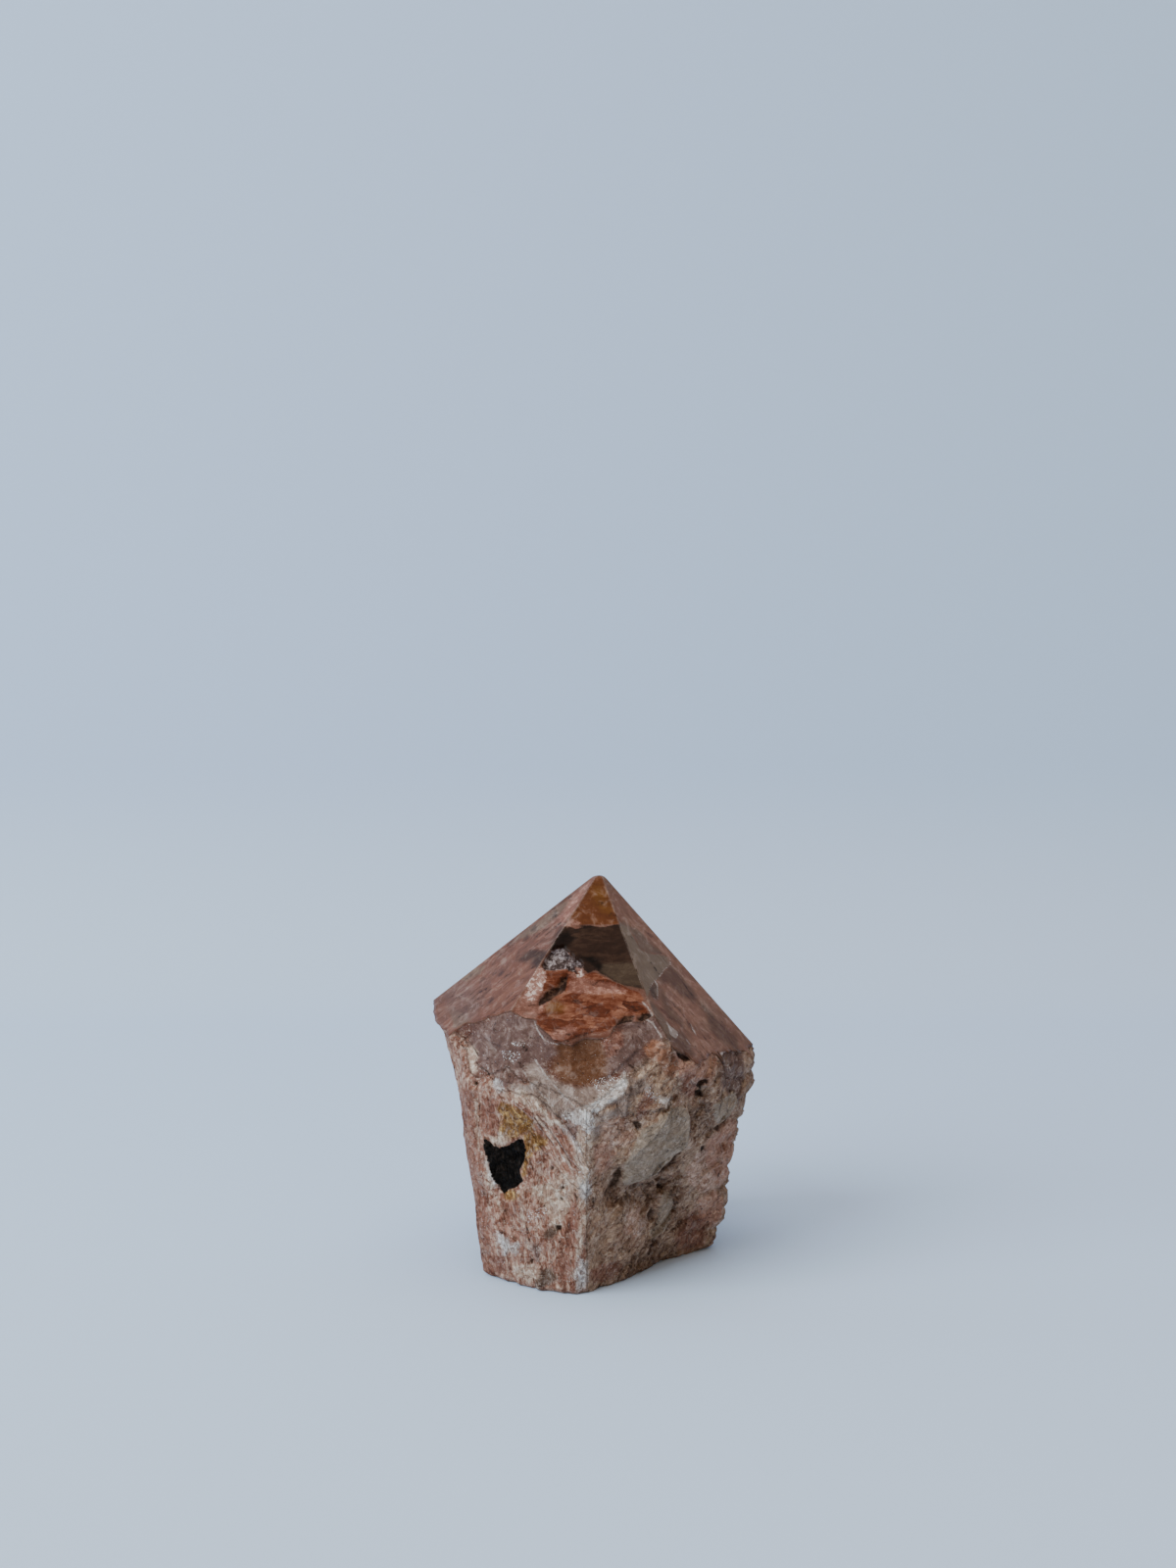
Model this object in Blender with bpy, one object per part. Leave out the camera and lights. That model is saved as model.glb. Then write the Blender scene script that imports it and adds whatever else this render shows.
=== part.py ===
"""Rough moonstone with a polished tip, in Blender 4.5: one piece of stone on its flat ground base.

The stone starts as a rough chunk: a prism whose rings of points are moved out to the stone's
sections, with its lumps, ledges, grooves and hollows. Six flat faces are then ground on it, which
all lean in to one point on the stone's axis, and the point itself is blunted. A chip is missing
from the front face. Azimuth turns about the axis: 0 faces the front (-Y), 90 the right (+X).
"""

import bmesh
import bpy
import numpy as np
from mathutils import Matrix, Vector

MM = 0.001

# The stone's axis in the part's frame, whose origin is under the middle of the stone, in mm
AXIS = (1.184, 1.38, 0.0)

# Polished tip, in mm and degrees: the point where the faces would meet, and the blunt top
POINT_HEIGHT = 59.8
TOP_HEIGHT = 59.1
TOP_TILT = 12.0
TIP_FACES = {
    "left": {"azimuth": -60, "drop_per_mm": 0.95},
    "front": {"azimuth": -3, "drop_per_mm": 1.13},
    "right": {"azimuth": 62, "drop_per_mm": 1.25},
    "back_right": {"azimuth": 116, "drop_per_mm": 1.30},
    "back": {"azimuth": 176, "drop_per_mm": 1.12},
    "back_left": {"azimuth": 235, "drop_per_mm": 0.94},
}

# Rough body: ridges that run up the stone, with their azimuth at the foot and at the top of the
# table, and their distance from the axis at each height, in mm
HEIGHTS = (0, 8, 16, 21, 26, 31, 36, 39, 46)
RIDGES = {
    "left": (-98, -92, (17.8, 19.2, 20.6, 21.2, 21.7, 22.6, 24.2, 25.4, 26.0)),
    "left_middle": (-75, -77, (18.2, 19.6, 21.0, 21.6, 22.1, 23.2, 24.4, 27.0, 26.0)),
    "left_front": (-50, -54, (22.4, 23.4, 24.0, 24.3, 24.4, 24.4, 25.0, 24.6, 24.0)),
    "front_left": (-24, -36, (23.6, 23.4, 23.0, 22.9, 22.9, 22.8, 22.8, 22.4, 22.0)),
    "front": (-7, -5, (23.9, 23.9, 23.8, 23.8, 23.7, 23.3, 22.6, 22.4, 22.2)),
    "front_right": (18, 18, (16.0, 17.0, 18.6, 20.2, 21.4, 21.8, 21.6, 21.4, 21.4)),
    "right_front": (45, 40, (13.6, 15.0, 17.2, 19.4, 21.2, 22.6, 22.9, 22.6, 22.6)),
    "right": (84, 84, (17.0, 19.6, 21.2, 22.2, 23.2, 23.8, 23.0, 22.6, 22.6)),
    "back_right": (130, 130, (16.5, 18.2, 20.2, 21.2, 22.0, 22.6, 22.8, 22.6, 22.6)),
    "back": (178, 178, (15.0, 16.5, 18.0, 19.0, 20.0, 20.6, 21.0, 21.0, 21.0)),
    "back_left": (226, 234, (15.5, 17.0, 19.0, 20.2, 21.4, 22.4, 23.4, 24.2, 24.8)),
}
RIDGE_ROUNDING = (-3.0, -1.5, 0.0, 1.5, 3.0)

# Glassy shoulder between the tip and the body: breaks that slant away under the front face.
# Azimuth, distance from the axis at a height, that height, and drop per mm outwards
SHOULDER_BREAKS = ((2, 18.4, 39.0, 2.5), (-18, 19.9, 37.4, 3.3), (-40, 21.0, 38.6, 3.6))

# Lumps and hollows: azimuth, height, half width, half height, and how far it stands out, in mm
LUMPS = {
    "step under the left corner": (-84, 38.4, 3.2, 1.6, 0.7),
    "fold above the black mica": (-30, 27.5, 4.5, 1.6, 0.5),
    "rim of the front ridge": (-5, 18.0, 1.6, 9.0, 0.5),
    "grey feldspar block": (23, 20.5, 4.2, 4.6, 0.9),
    "orange crystal": (24, 35.0, 2.0, 2.0, 0.5),
    "pale crystal at the right": (69, 23.4, 2.2, 2.6, 0.5),
    "right foot lump": (84, 7.0, 2.4, 2.4, 0.9),
    "back block": (158, 22.0, 6.0, 7.0, 1.0),
    "back foot lump": (205, 9.0, 5.0, 4.0, 0.8),
}
HOLLOWS = {
    "bed of the black mica": (-39, 18.5, 2.4, 3.4, 0.6),
    "crack under the left corner": (-61, 35.6, 1.2, 1.4, 0.9),
    "hollow at the front ridge": (6, 16.4, 1.4, 2.2, 1.1),
    "hollow under the feldspar": (20, 13.8, 4.4, 1.5, 1.2),
    "hollow beside the feldspar": (38, 17.6, 2.2, 1.7, 1.1),
    "low hollow": (30, 9.2, 1.8, 2.2, 0.8),
    "pit in the shoulder": (11, 39.4, 1.6, 0.9, 0.8),
    "pit at the right shoulder": (34, 34.6, 1.7, 1.0, 0.9),
    "specks at the right": (46, 29.4, 1.6, 1.6, 0.6),
    "scoop in the shoulder": (-12, 33.0, 4.6, 3.2, 0.7),
    "back scoop": (188, 29.0, 6.0, 4.5, 1.3),
    "back foot hollow": (140, 6.5, 4.0, 3.0, 0.9),
    "left back hollow": (240, 20.0, 4.5, 6.0, 1.0),
}

# Ledges: stacked lumps on the right and back, each a rounded step with a sharp notch under it
LEDGE_PITCH = 3.7
LEDGE_DEPTH = 0.75
LEDGE_SPANS = ((62, 104), (196, 236))
# Grooves that run up the rough sides
GROOVE_WIDTH = 2.6
GROOVE_DEPTH = 0.35
# Unevenness of the break: size of the waves and how far they go in and out
WAVES = ((9.0, 0.55, 11), (4.2, 0.32, 23))

# Chip in the front face: azimuth and height of its middle, its half sizes and its edge's wobble
CHIP_PLACE = (-30.5, 48.0)
CHIP_SIZE = (3.2, 2.0, 0.9)
CHIP_WOBBLE = 0.45

COLUMNS = 116
RINGS = 33
RING_TOP = 44.0
CHUNK_TOP = 62.0
JOIN = 0.03

ROUGH_COLOUR = (0.30, 0.20, 0.17, 1.0)
POLISHED_COLOUR = (0.20, 0.12, 0.10, 1.0)


def lattice_noise(points, size, seed):
    """Smooth noise from -1 to 1: random values on a cubic lattice, blended between its corners."""
    place = points / size + seed
    cell = np.floor(place).astype(np.int64)
    part = place - cell
    part = part * part * (3 - 2 * part)
    total = np.zeros(len(points))
    for corner in range(8):
        step = np.array([corner & 1, corner >> 1 & 1, corner >> 2 & 1])
        key = (cell + step) @ np.array([374761393, 668265263, 1274126177]) + seed * 40503
        key = (key ^ (key >> 13)) * 1103515245 & 0x7FFFFFFF
        key = (key ^ (key >> 11)) * 12345 & 0x7FFFFFFF
        weight = np.prod(np.where(step == 1, part, 1 - part), axis=1)
        total += weight * (key / 0x3FFFFFFF - 1)
    return total


def turn_between(azimuth, middle):
    """The turn in degrees from a middle azimuth, from -180 to 180."""
    return (azimuth - middle + 180) % 360 - 180


def body_radius(azimuth, height):
    """Distance of the body from the axis: straight chords from ridge to ridge, a little rounded."""
    feet = np.array([ridge[0] for ridge in RIDGES.values()])
    heads = np.array([ridge[1] for ridge in RIDGES.values()])
    climb = np.clip(height / HEIGHTS[-1], 0, 1)
    angles = [foot + (head - foot) * climb for foot, head in zip(feet, heads)]
    radii = [np.interp(height, HEIGHTS, ridge[2]) for ridge in RIDGES.values()]
    angles.append(angles[0] + 360)
    radii.append(radii[0])
    radius = np.zeros_like(azimuth)
    for offset in RIDGE_ROUNDING:
        turned = (azimuth + offset - angles[0]) % 360 + angles[0]
        for index in range(len(radii) - 1):
            near, far = angles[index], angles[index + 1]
            past = np.radians(turned - near)
            left = np.radians(far - turned)
            span = radii[index] * radii[index + 1] * np.sin(np.radians(far - near))
            chord = span / (radii[index] * np.sin(past) + radii[index + 1] * np.sin(left))
            between = (turned >= near) & (turned < far)
            radius += np.where(between, chord, 0) / len(RIDGE_ROUNDING)
    return radius


def shoulder_radius(azimuth, height):
    """Distance of the nearest shoulder break from the axis, far away where there is none."""
    nearest = np.full_like(azimuth, 99.0)
    for middle, distance, level, drop in SHOULDER_BREAKS:
        facing = np.cos(np.radians(azimuth - middle))
        reach = (distance + (level - height) / drop) / np.maximum(facing, 0.2)
        nearest = np.where(facing > 0.3, np.minimum(nearest, np.maximum(reach, 5)), nearest)
    return nearest


def bump(azimuth, height, radius, shape):
    """A round bump, 1 at its middle and 0 past its edge, on the unrolled side of the stone."""
    middle, level, half_width, half_height = shape[:4]
    across = np.radians(turn_between(azimuth, middle)) * radius / half_width
    along = (height - level) / half_height
    return np.clip(1 - (across**2 + along**2) / 4, 0, 1) ** 2


def ledges(azimuth, height, points):
    """Stacked rounded steps, strongest inside the spans of azimuth that have them."""
    wander = 1.4 * lattice_noise(points, 7.0, 5)
    phase = (height + wander + 0.05 * azimuth) / LEDGE_PITCH
    step = np.abs(np.sin(np.pi * phase)) ** 0.6 - 0.6
    strength = np.zeros_like(azimuth)
    for first, last in LEDGE_SPANS:
        middle = (first + last) / 2
        reach = (last - first) / 2
        turn = np.abs(turn_between(azimuth, middle)) / reach
        strength = np.maximum(strength, np.clip(1.4 - turn, 0, 1))
    return LEDGE_DEPTH * strength * step


def rough_relief(azimuth, height, radius, points):
    """How far the broken surface stands out from the plain body, in mm."""
    relief = ledges(azimuth, height, points)
    stretched = points * np.array([1, 1, 0.22])
    relief += GROOVE_DEPTH * (1 - 2 * np.abs(lattice_noise(stretched, GROOVE_WIDTH, 31)))
    for size, depth, seed in WAVES:
        relief += depth * lattice_noise(points, size, seed)
    for shape in LUMPS.values():
        relief += shape[4] * bump(azimuth, height, radius, shape)
    for shape in HOLLOWS.values():
        relief -= shape[4] * bump(azimuth, height, radius, shape)
    return relief


def place(azimuth, radius, height):
    """Points in mm, counted from the foot of the axis: azimuth, distance from the axis, height."""
    turn = np.radians(azimuth)
    return np.stack([radius * np.sin(turn), -radius * np.cos(turn), height], axis=1)


def settled(point):
    """A point in mm, counted from the foot of the axis, as a place in the part's frame in metres."""
    return (Vector(point) + Vector(AXIS)) * MM


def rough_chunk():
    """The unground chunk: a prism cut into rings, with its side points moved out to the body."""
    chunk = bmesh.new()
    bmesh.ops.create_cone(
        chunk, cap_ends=True, segments=COLUMNS, radius1=1, radius2=1, depth=2
    )
    uprights = [edge for edge in chunk.edges if abs(edge.verts[0].co.z - edge.verts[1].co.z) > 1]
    bmesh.ops.subdivide_edges(chunk, edges=uprights, cuts=RINGS, use_grid_fill=True)

    verts = list(chunk.verts)
    start = np.array([vert.co for vert in verts])
    ring = np.round((start[:, 2] + 1) / 2 * (RINGS + 1))
    height = np.where(ring > RINGS, CHUNK_TOP, ring / RINGS * RING_TOP)
    azimuth = np.degrees(np.arctan2(start[:, 0], -start[:, 1]))
    level = np.minimum(height, RING_TOP)
    radius = np.minimum(body_radius(azimuth, level), shoulder_radius(azimuth, level))
    plain = place(azimuth, radius, level)
    radius = radius + rough_relief(azimuth, level, radius, plain)
    for vert, spot in zip(verts, place(azimuth, radius, height)):
        vert.co = settled(spot)
    return chunk


def grind(stone, point, outwards, material):
    """Cuts the stone flat along a plane and closes the cut with one flat face."""
    everything = stone.verts[:] + stone.edges[:] + stone.faces[:]
    cut = bmesh.ops.bisect_plane(
        stone,
        geom=everything,
        dist=JOIN * MM,
        plane_co=point,
        plane_no=outwards,
        clear_outer=True,
    )
    rim = [item for item in cut["geom_cut"] if isinstance(item, bmesh.types.BMEdge)]
    filled = bmesh.ops.contextual_create(stone, geom=[edge for edge in rim if edge.is_boundary])
    for face in filled["faces"]:
        face.material_index = material


def tip_plane(azimuth, drop):
    """A tip face's outward direction: it falls by drop for each mm away from the axis."""
    turn = np.radians(azimuth)
    return Vector((drop * np.sin(turn), -drop * np.cos(turn), 1)).normalized()


def grind_tip(stone):
    """Grinds the six polished faces, and then the small blunt top."""
    point = settled((0, 0, POINT_HEIGHT))
    for face in TIP_FACES.values():
        grind(stone, point, tip_plane(face["azimuth"], face["drop_per_mm"]), 1)
    lean = np.radians(TOP_TILT)
    grind(stone, settled((0, 0, TOP_HEIGHT)), Vector((0, -np.sin(lean), np.cos(lean))), 1)
    bmesh.ops.remove_doubles(stone, verts=stone.verts, dist=JOIN * MM)


def chip_cutter():
    """A lumpy ball that lies on the front face and knocks a shallow chip out of it."""
    front = TIP_FACES["front"]
    azimuth, height = CHIP_PLACE
    facing = np.cos(np.radians(azimuth - front["azimuth"]))
    radius = (POINT_HEIGHT - height) / (front["drop_per_mm"] * facing)
    spot = place(np.array([azimuth]), np.array([radius]), np.array([height]))[0]
    normal = tip_plane(front["azimuth"], front["drop_per_mm"])

    ball = bmesh.new()
    bmesh.ops.create_icosphere(ball, subdivisions=2, radius=1)
    corners = np.array([vert.co for vert in ball.verts])
    wobble = 1 + CHIP_WOBBLE * lattice_noise(corners, 0.8, 3)
    for vert, stretch in zip(ball.verts, wobble):
        vert.co *= float(stretch)
    turned = normal.to_track_quat("Z", "Y").to_matrix().to_4x4()
    scaled = Matrix.Diagonal((*CHIP_SIZE, 1 / MM)) * MM
    moved = Matrix.Translation(settled(spot)) @ turned @ scaled
    bmesh.ops.transform(ball, matrix=moved, verts=ball.verts)
    return ball


def stone_material(name, colour, roughness):
    """A plain stone material."""
    material = bpy.data.materials.new(name)
    material.use_nodes = True
    shader = material.node_tree.nodes["Principled BSDF"]
    shader.inputs["Base Color"].default_value = colour
    shader.inputs["Roughness"].default_value = roughness
    shader.inputs["Metallic"].default_value = 0.0
    return material


def add_object(name, mesh_maker, collection):
    """Puts a bmesh into a new object of a collection."""
    mesh = bpy.data.meshes.new(name)
    mesh_maker.to_mesh(mesh)
    mesh_maker.free()
    obj = bpy.data.objects.new(name, mesh)
    collection.objects.link(obj)
    return obj


def new_collection(name):
    """A new collection of the scene."""
    collection = bpy.data.collections.new(name)
    bpy.context.scene.collection.children.link(collection)
    return collection


def build_moonstone():
    """The whole stone: chunk, ground tip and chip."""
    for obj in list(bpy.data.objects):
        bpy.data.objects.remove(obj, do_unlink=True)
    parts = new_collection("rough_moonstone")
    cutters = new_collection("cutters")

    chunk = rough_chunk()
    grind_tip(chunk)
    bmesh.ops.recalc_face_normals(chunk, faces=chunk.faces)
    stone = add_object("moonstone", chunk, parts)
    stone.data.materials.append(stone_material("rough moonstone", ROUGH_COLOUR, 0.65))
    stone.data.materials.append(stone_material("polished moonstone", POLISHED_COLOUR, 0.2))

    chip = add_object("chip_cutter", chip_cutter(), cutters)
    chip.hide_render = True
    chip.display_type = "WIRE"
    knock = stone.modifiers.new("chip", "BOOLEAN")
    knock.operation = "DIFFERENCE"
    knock.solver = "EXACT"
    knock.object = chip
    tidy = stone.modifiers.new("merge short edges", "WELD")
    tidy.merge_threshold = JOIN * MM


build_moonstone()
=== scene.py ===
import math

import bpy
import numpy as np
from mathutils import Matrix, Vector


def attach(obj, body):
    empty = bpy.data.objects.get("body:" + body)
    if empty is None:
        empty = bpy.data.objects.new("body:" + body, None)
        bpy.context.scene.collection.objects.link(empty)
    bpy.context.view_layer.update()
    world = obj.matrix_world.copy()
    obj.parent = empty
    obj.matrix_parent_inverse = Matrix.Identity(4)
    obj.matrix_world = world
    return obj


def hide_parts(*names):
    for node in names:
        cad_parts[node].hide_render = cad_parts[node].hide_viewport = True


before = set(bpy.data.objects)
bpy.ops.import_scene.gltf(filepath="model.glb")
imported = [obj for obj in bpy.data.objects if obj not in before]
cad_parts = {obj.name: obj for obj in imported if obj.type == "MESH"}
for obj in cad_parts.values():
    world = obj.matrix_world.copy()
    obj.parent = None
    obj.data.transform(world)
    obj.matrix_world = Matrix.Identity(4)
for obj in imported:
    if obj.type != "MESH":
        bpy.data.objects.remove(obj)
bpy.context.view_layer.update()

# The stone, as in its solid: sizes in mm, angles in degrees. Azimuth turns about the stone's
# axis: 0 faces the front (-Y), 90 the right (+X).
MM = 0.001
AXIS = (1.184, 1.38, 0.0)

POINT_HEIGHT = 59.8
TOP_HEIGHT = 59.1
TIP_FACES = {
    "left": {"azimuth": -60, "drop_per_mm": 0.95},
    "front": {"azimuth": -3, "drop_per_mm": 1.13},
    "right": {"azimuth": 62, "drop_per_mm": 1.25},
    "back_right": {"azimuth": 116, "drop_per_mm": 1.30},
    "back": {"azimuth": 176, "drop_per_mm": 1.12},
    "back_left": {"azimuth": 235, "drop_per_mm": 0.94},
}

# Ridges of the rough body: azimuth at the foot and at the top of the table, and distance from
# the axis at each height
HEIGHTS = (0, 8, 16, 21, 26, 31, 36, 39, 46)
RIDGES = {
    "left": (-98, -92, (17.8, 19.2, 20.6, 21.2, 21.7, 22.6, 24.2, 25.4, 26.0)),
    "left_middle": (-75, -77, (18.2, 19.6, 21.0, 21.6, 22.1, 23.2, 24.4, 27.0, 26.0)),
    "left_front": (-50, -54, (22.4, 23.4, 24.0, 24.3, 24.4, 24.4, 25.0, 24.6, 24.0)),
    "front_left": (-24, -36, (23.6, 23.4, 23.0, 22.9, 22.9, 22.8, 22.8, 22.4, 22.0)),
    "front": (-7, -5, (23.9, 23.9, 23.8, 23.8, 23.7, 23.3, 22.6, 22.4, 22.2)),
    "front_right": (18, 18, (16.0, 17.0, 18.6, 20.2, 21.4, 21.8, 21.6, 21.4, 21.4)),
    "right_front": (45, 40, (13.6, 15.0, 17.2, 19.4, 21.2, 22.6, 22.9, 22.6, 22.6)),
    "right": (84, 84, (17.0, 19.6, 21.2, 22.2, 23.2, 23.8, 23.0, 22.6, 22.6)),
    "back_right": (130, 130, (16.5, 18.2, 20.2, 21.2, 22.0, 22.6, 22.8, 22.6, 22.6)),
    "back": (178, 178, (15.0, 16.5, 18.0, 19.0, 20.0, 20.6, 21.0, 21.0, 21.0)),
    "back_left": (226, 234, (15.5, 17.0, 19.0, 20.2, 21.4, 22.4, 23.4, 24.2, 24.8)),
}
RIDGE_ROUNDING = (-3.0, -1.5, 0.0, 1.5, 3.0)
SHOULDER_BREAKS = ((2, 18.4, 39.0, 2.5), (-18, 19.9, 37.4, 3.3), (-40, 21.0, 38.6, 3.6))

# Lumps and hollows: azimuth, height, half width, half height, and how far it stands out
LUMPS = {
    "step under the left corner": (-84, 38.4, 3.2, 1.6, 0.7),
    "fold above the black mica": (-30, 27.5, 4.5, 1.6, 0.5),
    "rim of the front ridge": (-5, 18.0, 1.6, 9.0, 0.5),
    "grey feldspar block": (23, 20.5, 4.2, 4.6, 0.9),
    "orange crystal": (24, 35.0, 2.0, 2.0, 0.5),
    "pale crystal at the right": (69, 23.4, 2.2, 2.6, 0.5),
    "right foot lump": (84, 7.0, 2.4, 2.4, 0.9),
    "back block": (158, 22.0, 6.0, 7.0, 1.0),
    "back foot lump": (205, 9.0, 5.0, 4.0, 0.8),
}
HOLLOWS = {
    "bed of the black mica": (-39, 18.5, 2.4, 3.4, 0.6),
    "crack under the left corner": (-61, 35.6, 1.2, 1.4, 0.9),
    "hollow at the front ridge": (6, 16.4, 1.4, 2.2, 1.1),
    "hollow under the feldspar": (20, 13.8, 4.4, 1.5, 1.2),
    "hollow beside the feldspar": (38, 17.6, 2.2, 1.7, 1.1),
    "low hollow": (30, 9.2, 1.8, 2.2, 0.8),
    "pit in the shoulder": (11, 39.4, 1.6, 0.9, 0.8),
    "pit at the right shoulder": (34, 34.6, 1.7, 1.0, 0.9),
    "specks at the right": (46, 29.4, 1.6, 1.6, 0.6),
    "scoop in the shoulder": (-12, 33.0, 4.6, 3.2, 0.7),
    "back scoop": (188, 29.0, 6.0, 4.5, 1.3),
    "back foot hollow": (140, 6.5, 4.0, 3.0, 0.9),
    "left back hollow": (240, 20.0, 4.5, 6.0, 1.0),
}
# Ledges, as stacked rounded steps: height and depth of a step, the spans of azimuth that have them
# and how they fade at a span's ends; how far they wander, over what length, and the seed; how they
# slant, in mm to a degree; and how round they are
LEDGE_PITCH = 3.7
LEDGE_DEPTH = 0.75
LEDGE_SPANS = ((62, 104), (196, 236))
LEDGE_FADE = 1.4
LEDGE_WANDER = (1.4, 7.0, 5)
LEDGE_SLANT = 0.05
LEDGE_CURVE = 0.6
LEDGE_MEAN = 0.6
# Upright grooves: width, depth, how much they are drawn out upwards, and seed
GROOVE_WIDTH = 2.6
GROOVE_DEPTH = 0.35
GROOVE_UPRIGHT = 0.22
GROOVE_SEED = 31
# Waves of the surface: length, depth and seed
WAVES = ((9.0, 0.55, 11), (4.2, 0.32, 23))
# The front ridge, where the left and the right side meet, and how far round from its middle the
# photograph shows the sides, each with the degrees over which one side fades into the next
FRONT_RIDGE, RIDGE_FADE = -5, 3
SEEN_MIDDLE, SEEN_REACH, SEEN_FADE = -6, 101, 6

# Finer relief of each side, in mm: grooves along the grain and flat broken faces, each with its
# size across and its depth or tilt, and how far both are drawn out along the grain
FINE_RELIEF = {
    "left side": {
        "grooves": ((2.4, 0.12), (1.0, 0.10)), "faces": ((3.4, 0.09), (1.3, 0.12)), "stretch": 4.0,
    },
    "right side": {
        "grooves": ((1.9, 0.14), (0.8, 0.10)), "faces": ((4.4, 0.15), (2.0, 0.17), (0.9, 0.14)),
        "stretch": 2.2,
    },
    "far sides": {
        "grooves": ((2.4, 0.18), (1.0, 0.12)), "faces": ((4.0, 0.13), (1.6, 0.13)), "stretch": 3.0,
    },
}
# The glassy shoulder has this much less of the sides' relief, and large smooth breaks of its own
SHOULDER_CALM = 0.85
GLASS_BREAKS = (6.0, 0.06, 47)
GROOVE_SEEDS = 51
FACE_SEEDS = 41
# A flat broken face also stands in or out by this share of its tilt
FACE_STEP = 0.35

# The way the grain runs: on each side, the azimuth where it is laid out, its share across to the
# right and its share up; on each face of the tip, its share across and its share down the slope
GRAIN = {
    "left side": (-50, 0.14, -1.0),
    "right side": (42, 0.75, 0.66),
    "far sides": (180, 0.1, 1.0),
    "front fibres": (-25, 0.6, -0.8),
    "shoulder": (-15, 1.0, -0.5),
}
GRAIN_STRETCH = {
    "left side": 2.6,
    "right side": 2.2,
    "far sides": 4.0,
    "front fibres": 8.0,
    "shoulder": 1.5,
}
TIP_GRAIN = {
    "left": (-0.47, 1.0),
    "front": (1.0, 0.04),
    "right": (0.28, 1.0),
    "back_right": (-0.3, 1.0),
    "back": (0.9, 0.3),
    "back_left": (0.4, 1.0),
}
TIP_STRETCH = 4.0
# How the grain wanders off the straight, in mm: length of the bends and how far they go
GRAIN_BENDS = ((7.0, 0.9, 91), (2.6, 0.3, 95))

# The grid of the surface: columns to a degree at the front and at the back, and rows
COLUMNS_FRONT = 1.70
COLUMNS_BACK = 0.88
TIP_ROWS = 76
BODY_ROWS = 134
FOOT_RINGS = 3
# The tip's rows: this share of their spacing is even, and the rest grows towards the girdle
TIP_EVENNESS = 0.6
BLUNTNESS = 5.0
# The girdle is looked for between these distances from the axis, in this many halvings
GIRDLE_SPAN = (8.0, 40.0)
GIRDLE_HALVINGS = 22
# The foot's rim is broken back a little: how far in and how far up, in mm
FOOT_RIM = (0.6, 0.7)

# The camera, as the photograph was taken: 1200 x 1600 pixels, focal length in pixels, tilt down,
# and the eye's place in mm counted from the foot of the stone's axis
IMAGE_WIDTH = 1200
IMAGE_HEIGHT = 1600
FOCAL_PIXELS = 2400.0
CAMERA_TILT = 7.7
EYE = (-1.82, -359.0, 121.9)
SENSOR_WIDTH = 36.0
NEAR_CLIP = 0.01

# How whole numbers are turned into random ones, from 0 to WHOLE: large factors and shifts
LATTICE_KEYS = (374761393, 668265263, 1274126177)
LATTICE_SEED_KEY = 40503
LATTICE_TURNS = ((13, 1103515245), (11, 12345))
CELL_KEYS = (73856093, 19349663, 83492791)
CELL_SEED_KEY = 7919
CELL_TURNS = ((15, 2246822519, 3266489917), (13, 668265263, 0))
WHOLE = 0x7FFFFFFF
HALF = 0x3FFFFFFF


# Where each mineral shows: drawn outlines in the photograph's pixels, across and down
LEFT_FACE = {
    "soft smoke": (
        ((524, 981), (533, 974), (541, 969), (561, 970), (557, 978), (560, 990), (550, 988), (530, 982)),
        ((559, 968), (565, 956), (571, 947), (577, 941), (574, 952), (566, 964)),
    ),
    # Partly real grey glass, partly a painted reflection of the bright surroundings, as along the face's
    # left rim
    "grey glass": (
        ((522, 962), (534, 951), (550, 940), (562, 931), (575, 921), (582, 918), (575, 930), (546, 952)),
        ((470, 1000), (484, 989), (496, 984), (490, 994), (476, 1002)),
        ((458, 1030), (466, 1030), (475, 1036), (481, 1040), (472, 1046), (464, 1049), (461, 1040)),
    ),
    "pink": (
        ((574, 944), (570, 936), (575, 928), (586, 914), (597, 903), (603, 900), (590, 922), (583, 933)),
    ),
    "lilac": (
        ((452, 1012), (470, 1002), (486, 1008), (490, 1026), (484, 1040), (468, 1044), (456, 1030)),
    ),
    "rosy": (
        ((506, 1008), (522, 984), (542, 980), (541, 1004), (528, 1022), (512, 1036), (498, 1034)),
    ),
    "dark flecks": (
        ((505, 976), (510, 969), (513, 967), (509, 974)),
        ((517, 966), (521, 960), (525, 956), (521, 964)),
        ((533, 961), (538, 954), (540, 956), (536, 961)),
        ((541, 950), (546, 944), (548, 946), (544, 950)),
        ((508, 996), (513, 989), (515, 991), (511, 996)),
        ((489, 1003), (493, 997), (495, 999), (491, 1003)),
        ((477, 998), (482, 992), (483, 995), (479, 999)),
        ((562, 936), (568, 929), (569, 931), (564, 937)),
        ((498, 1024), (503, 1017), (504, 1020), (500, 1025)),
    ),
}
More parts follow.
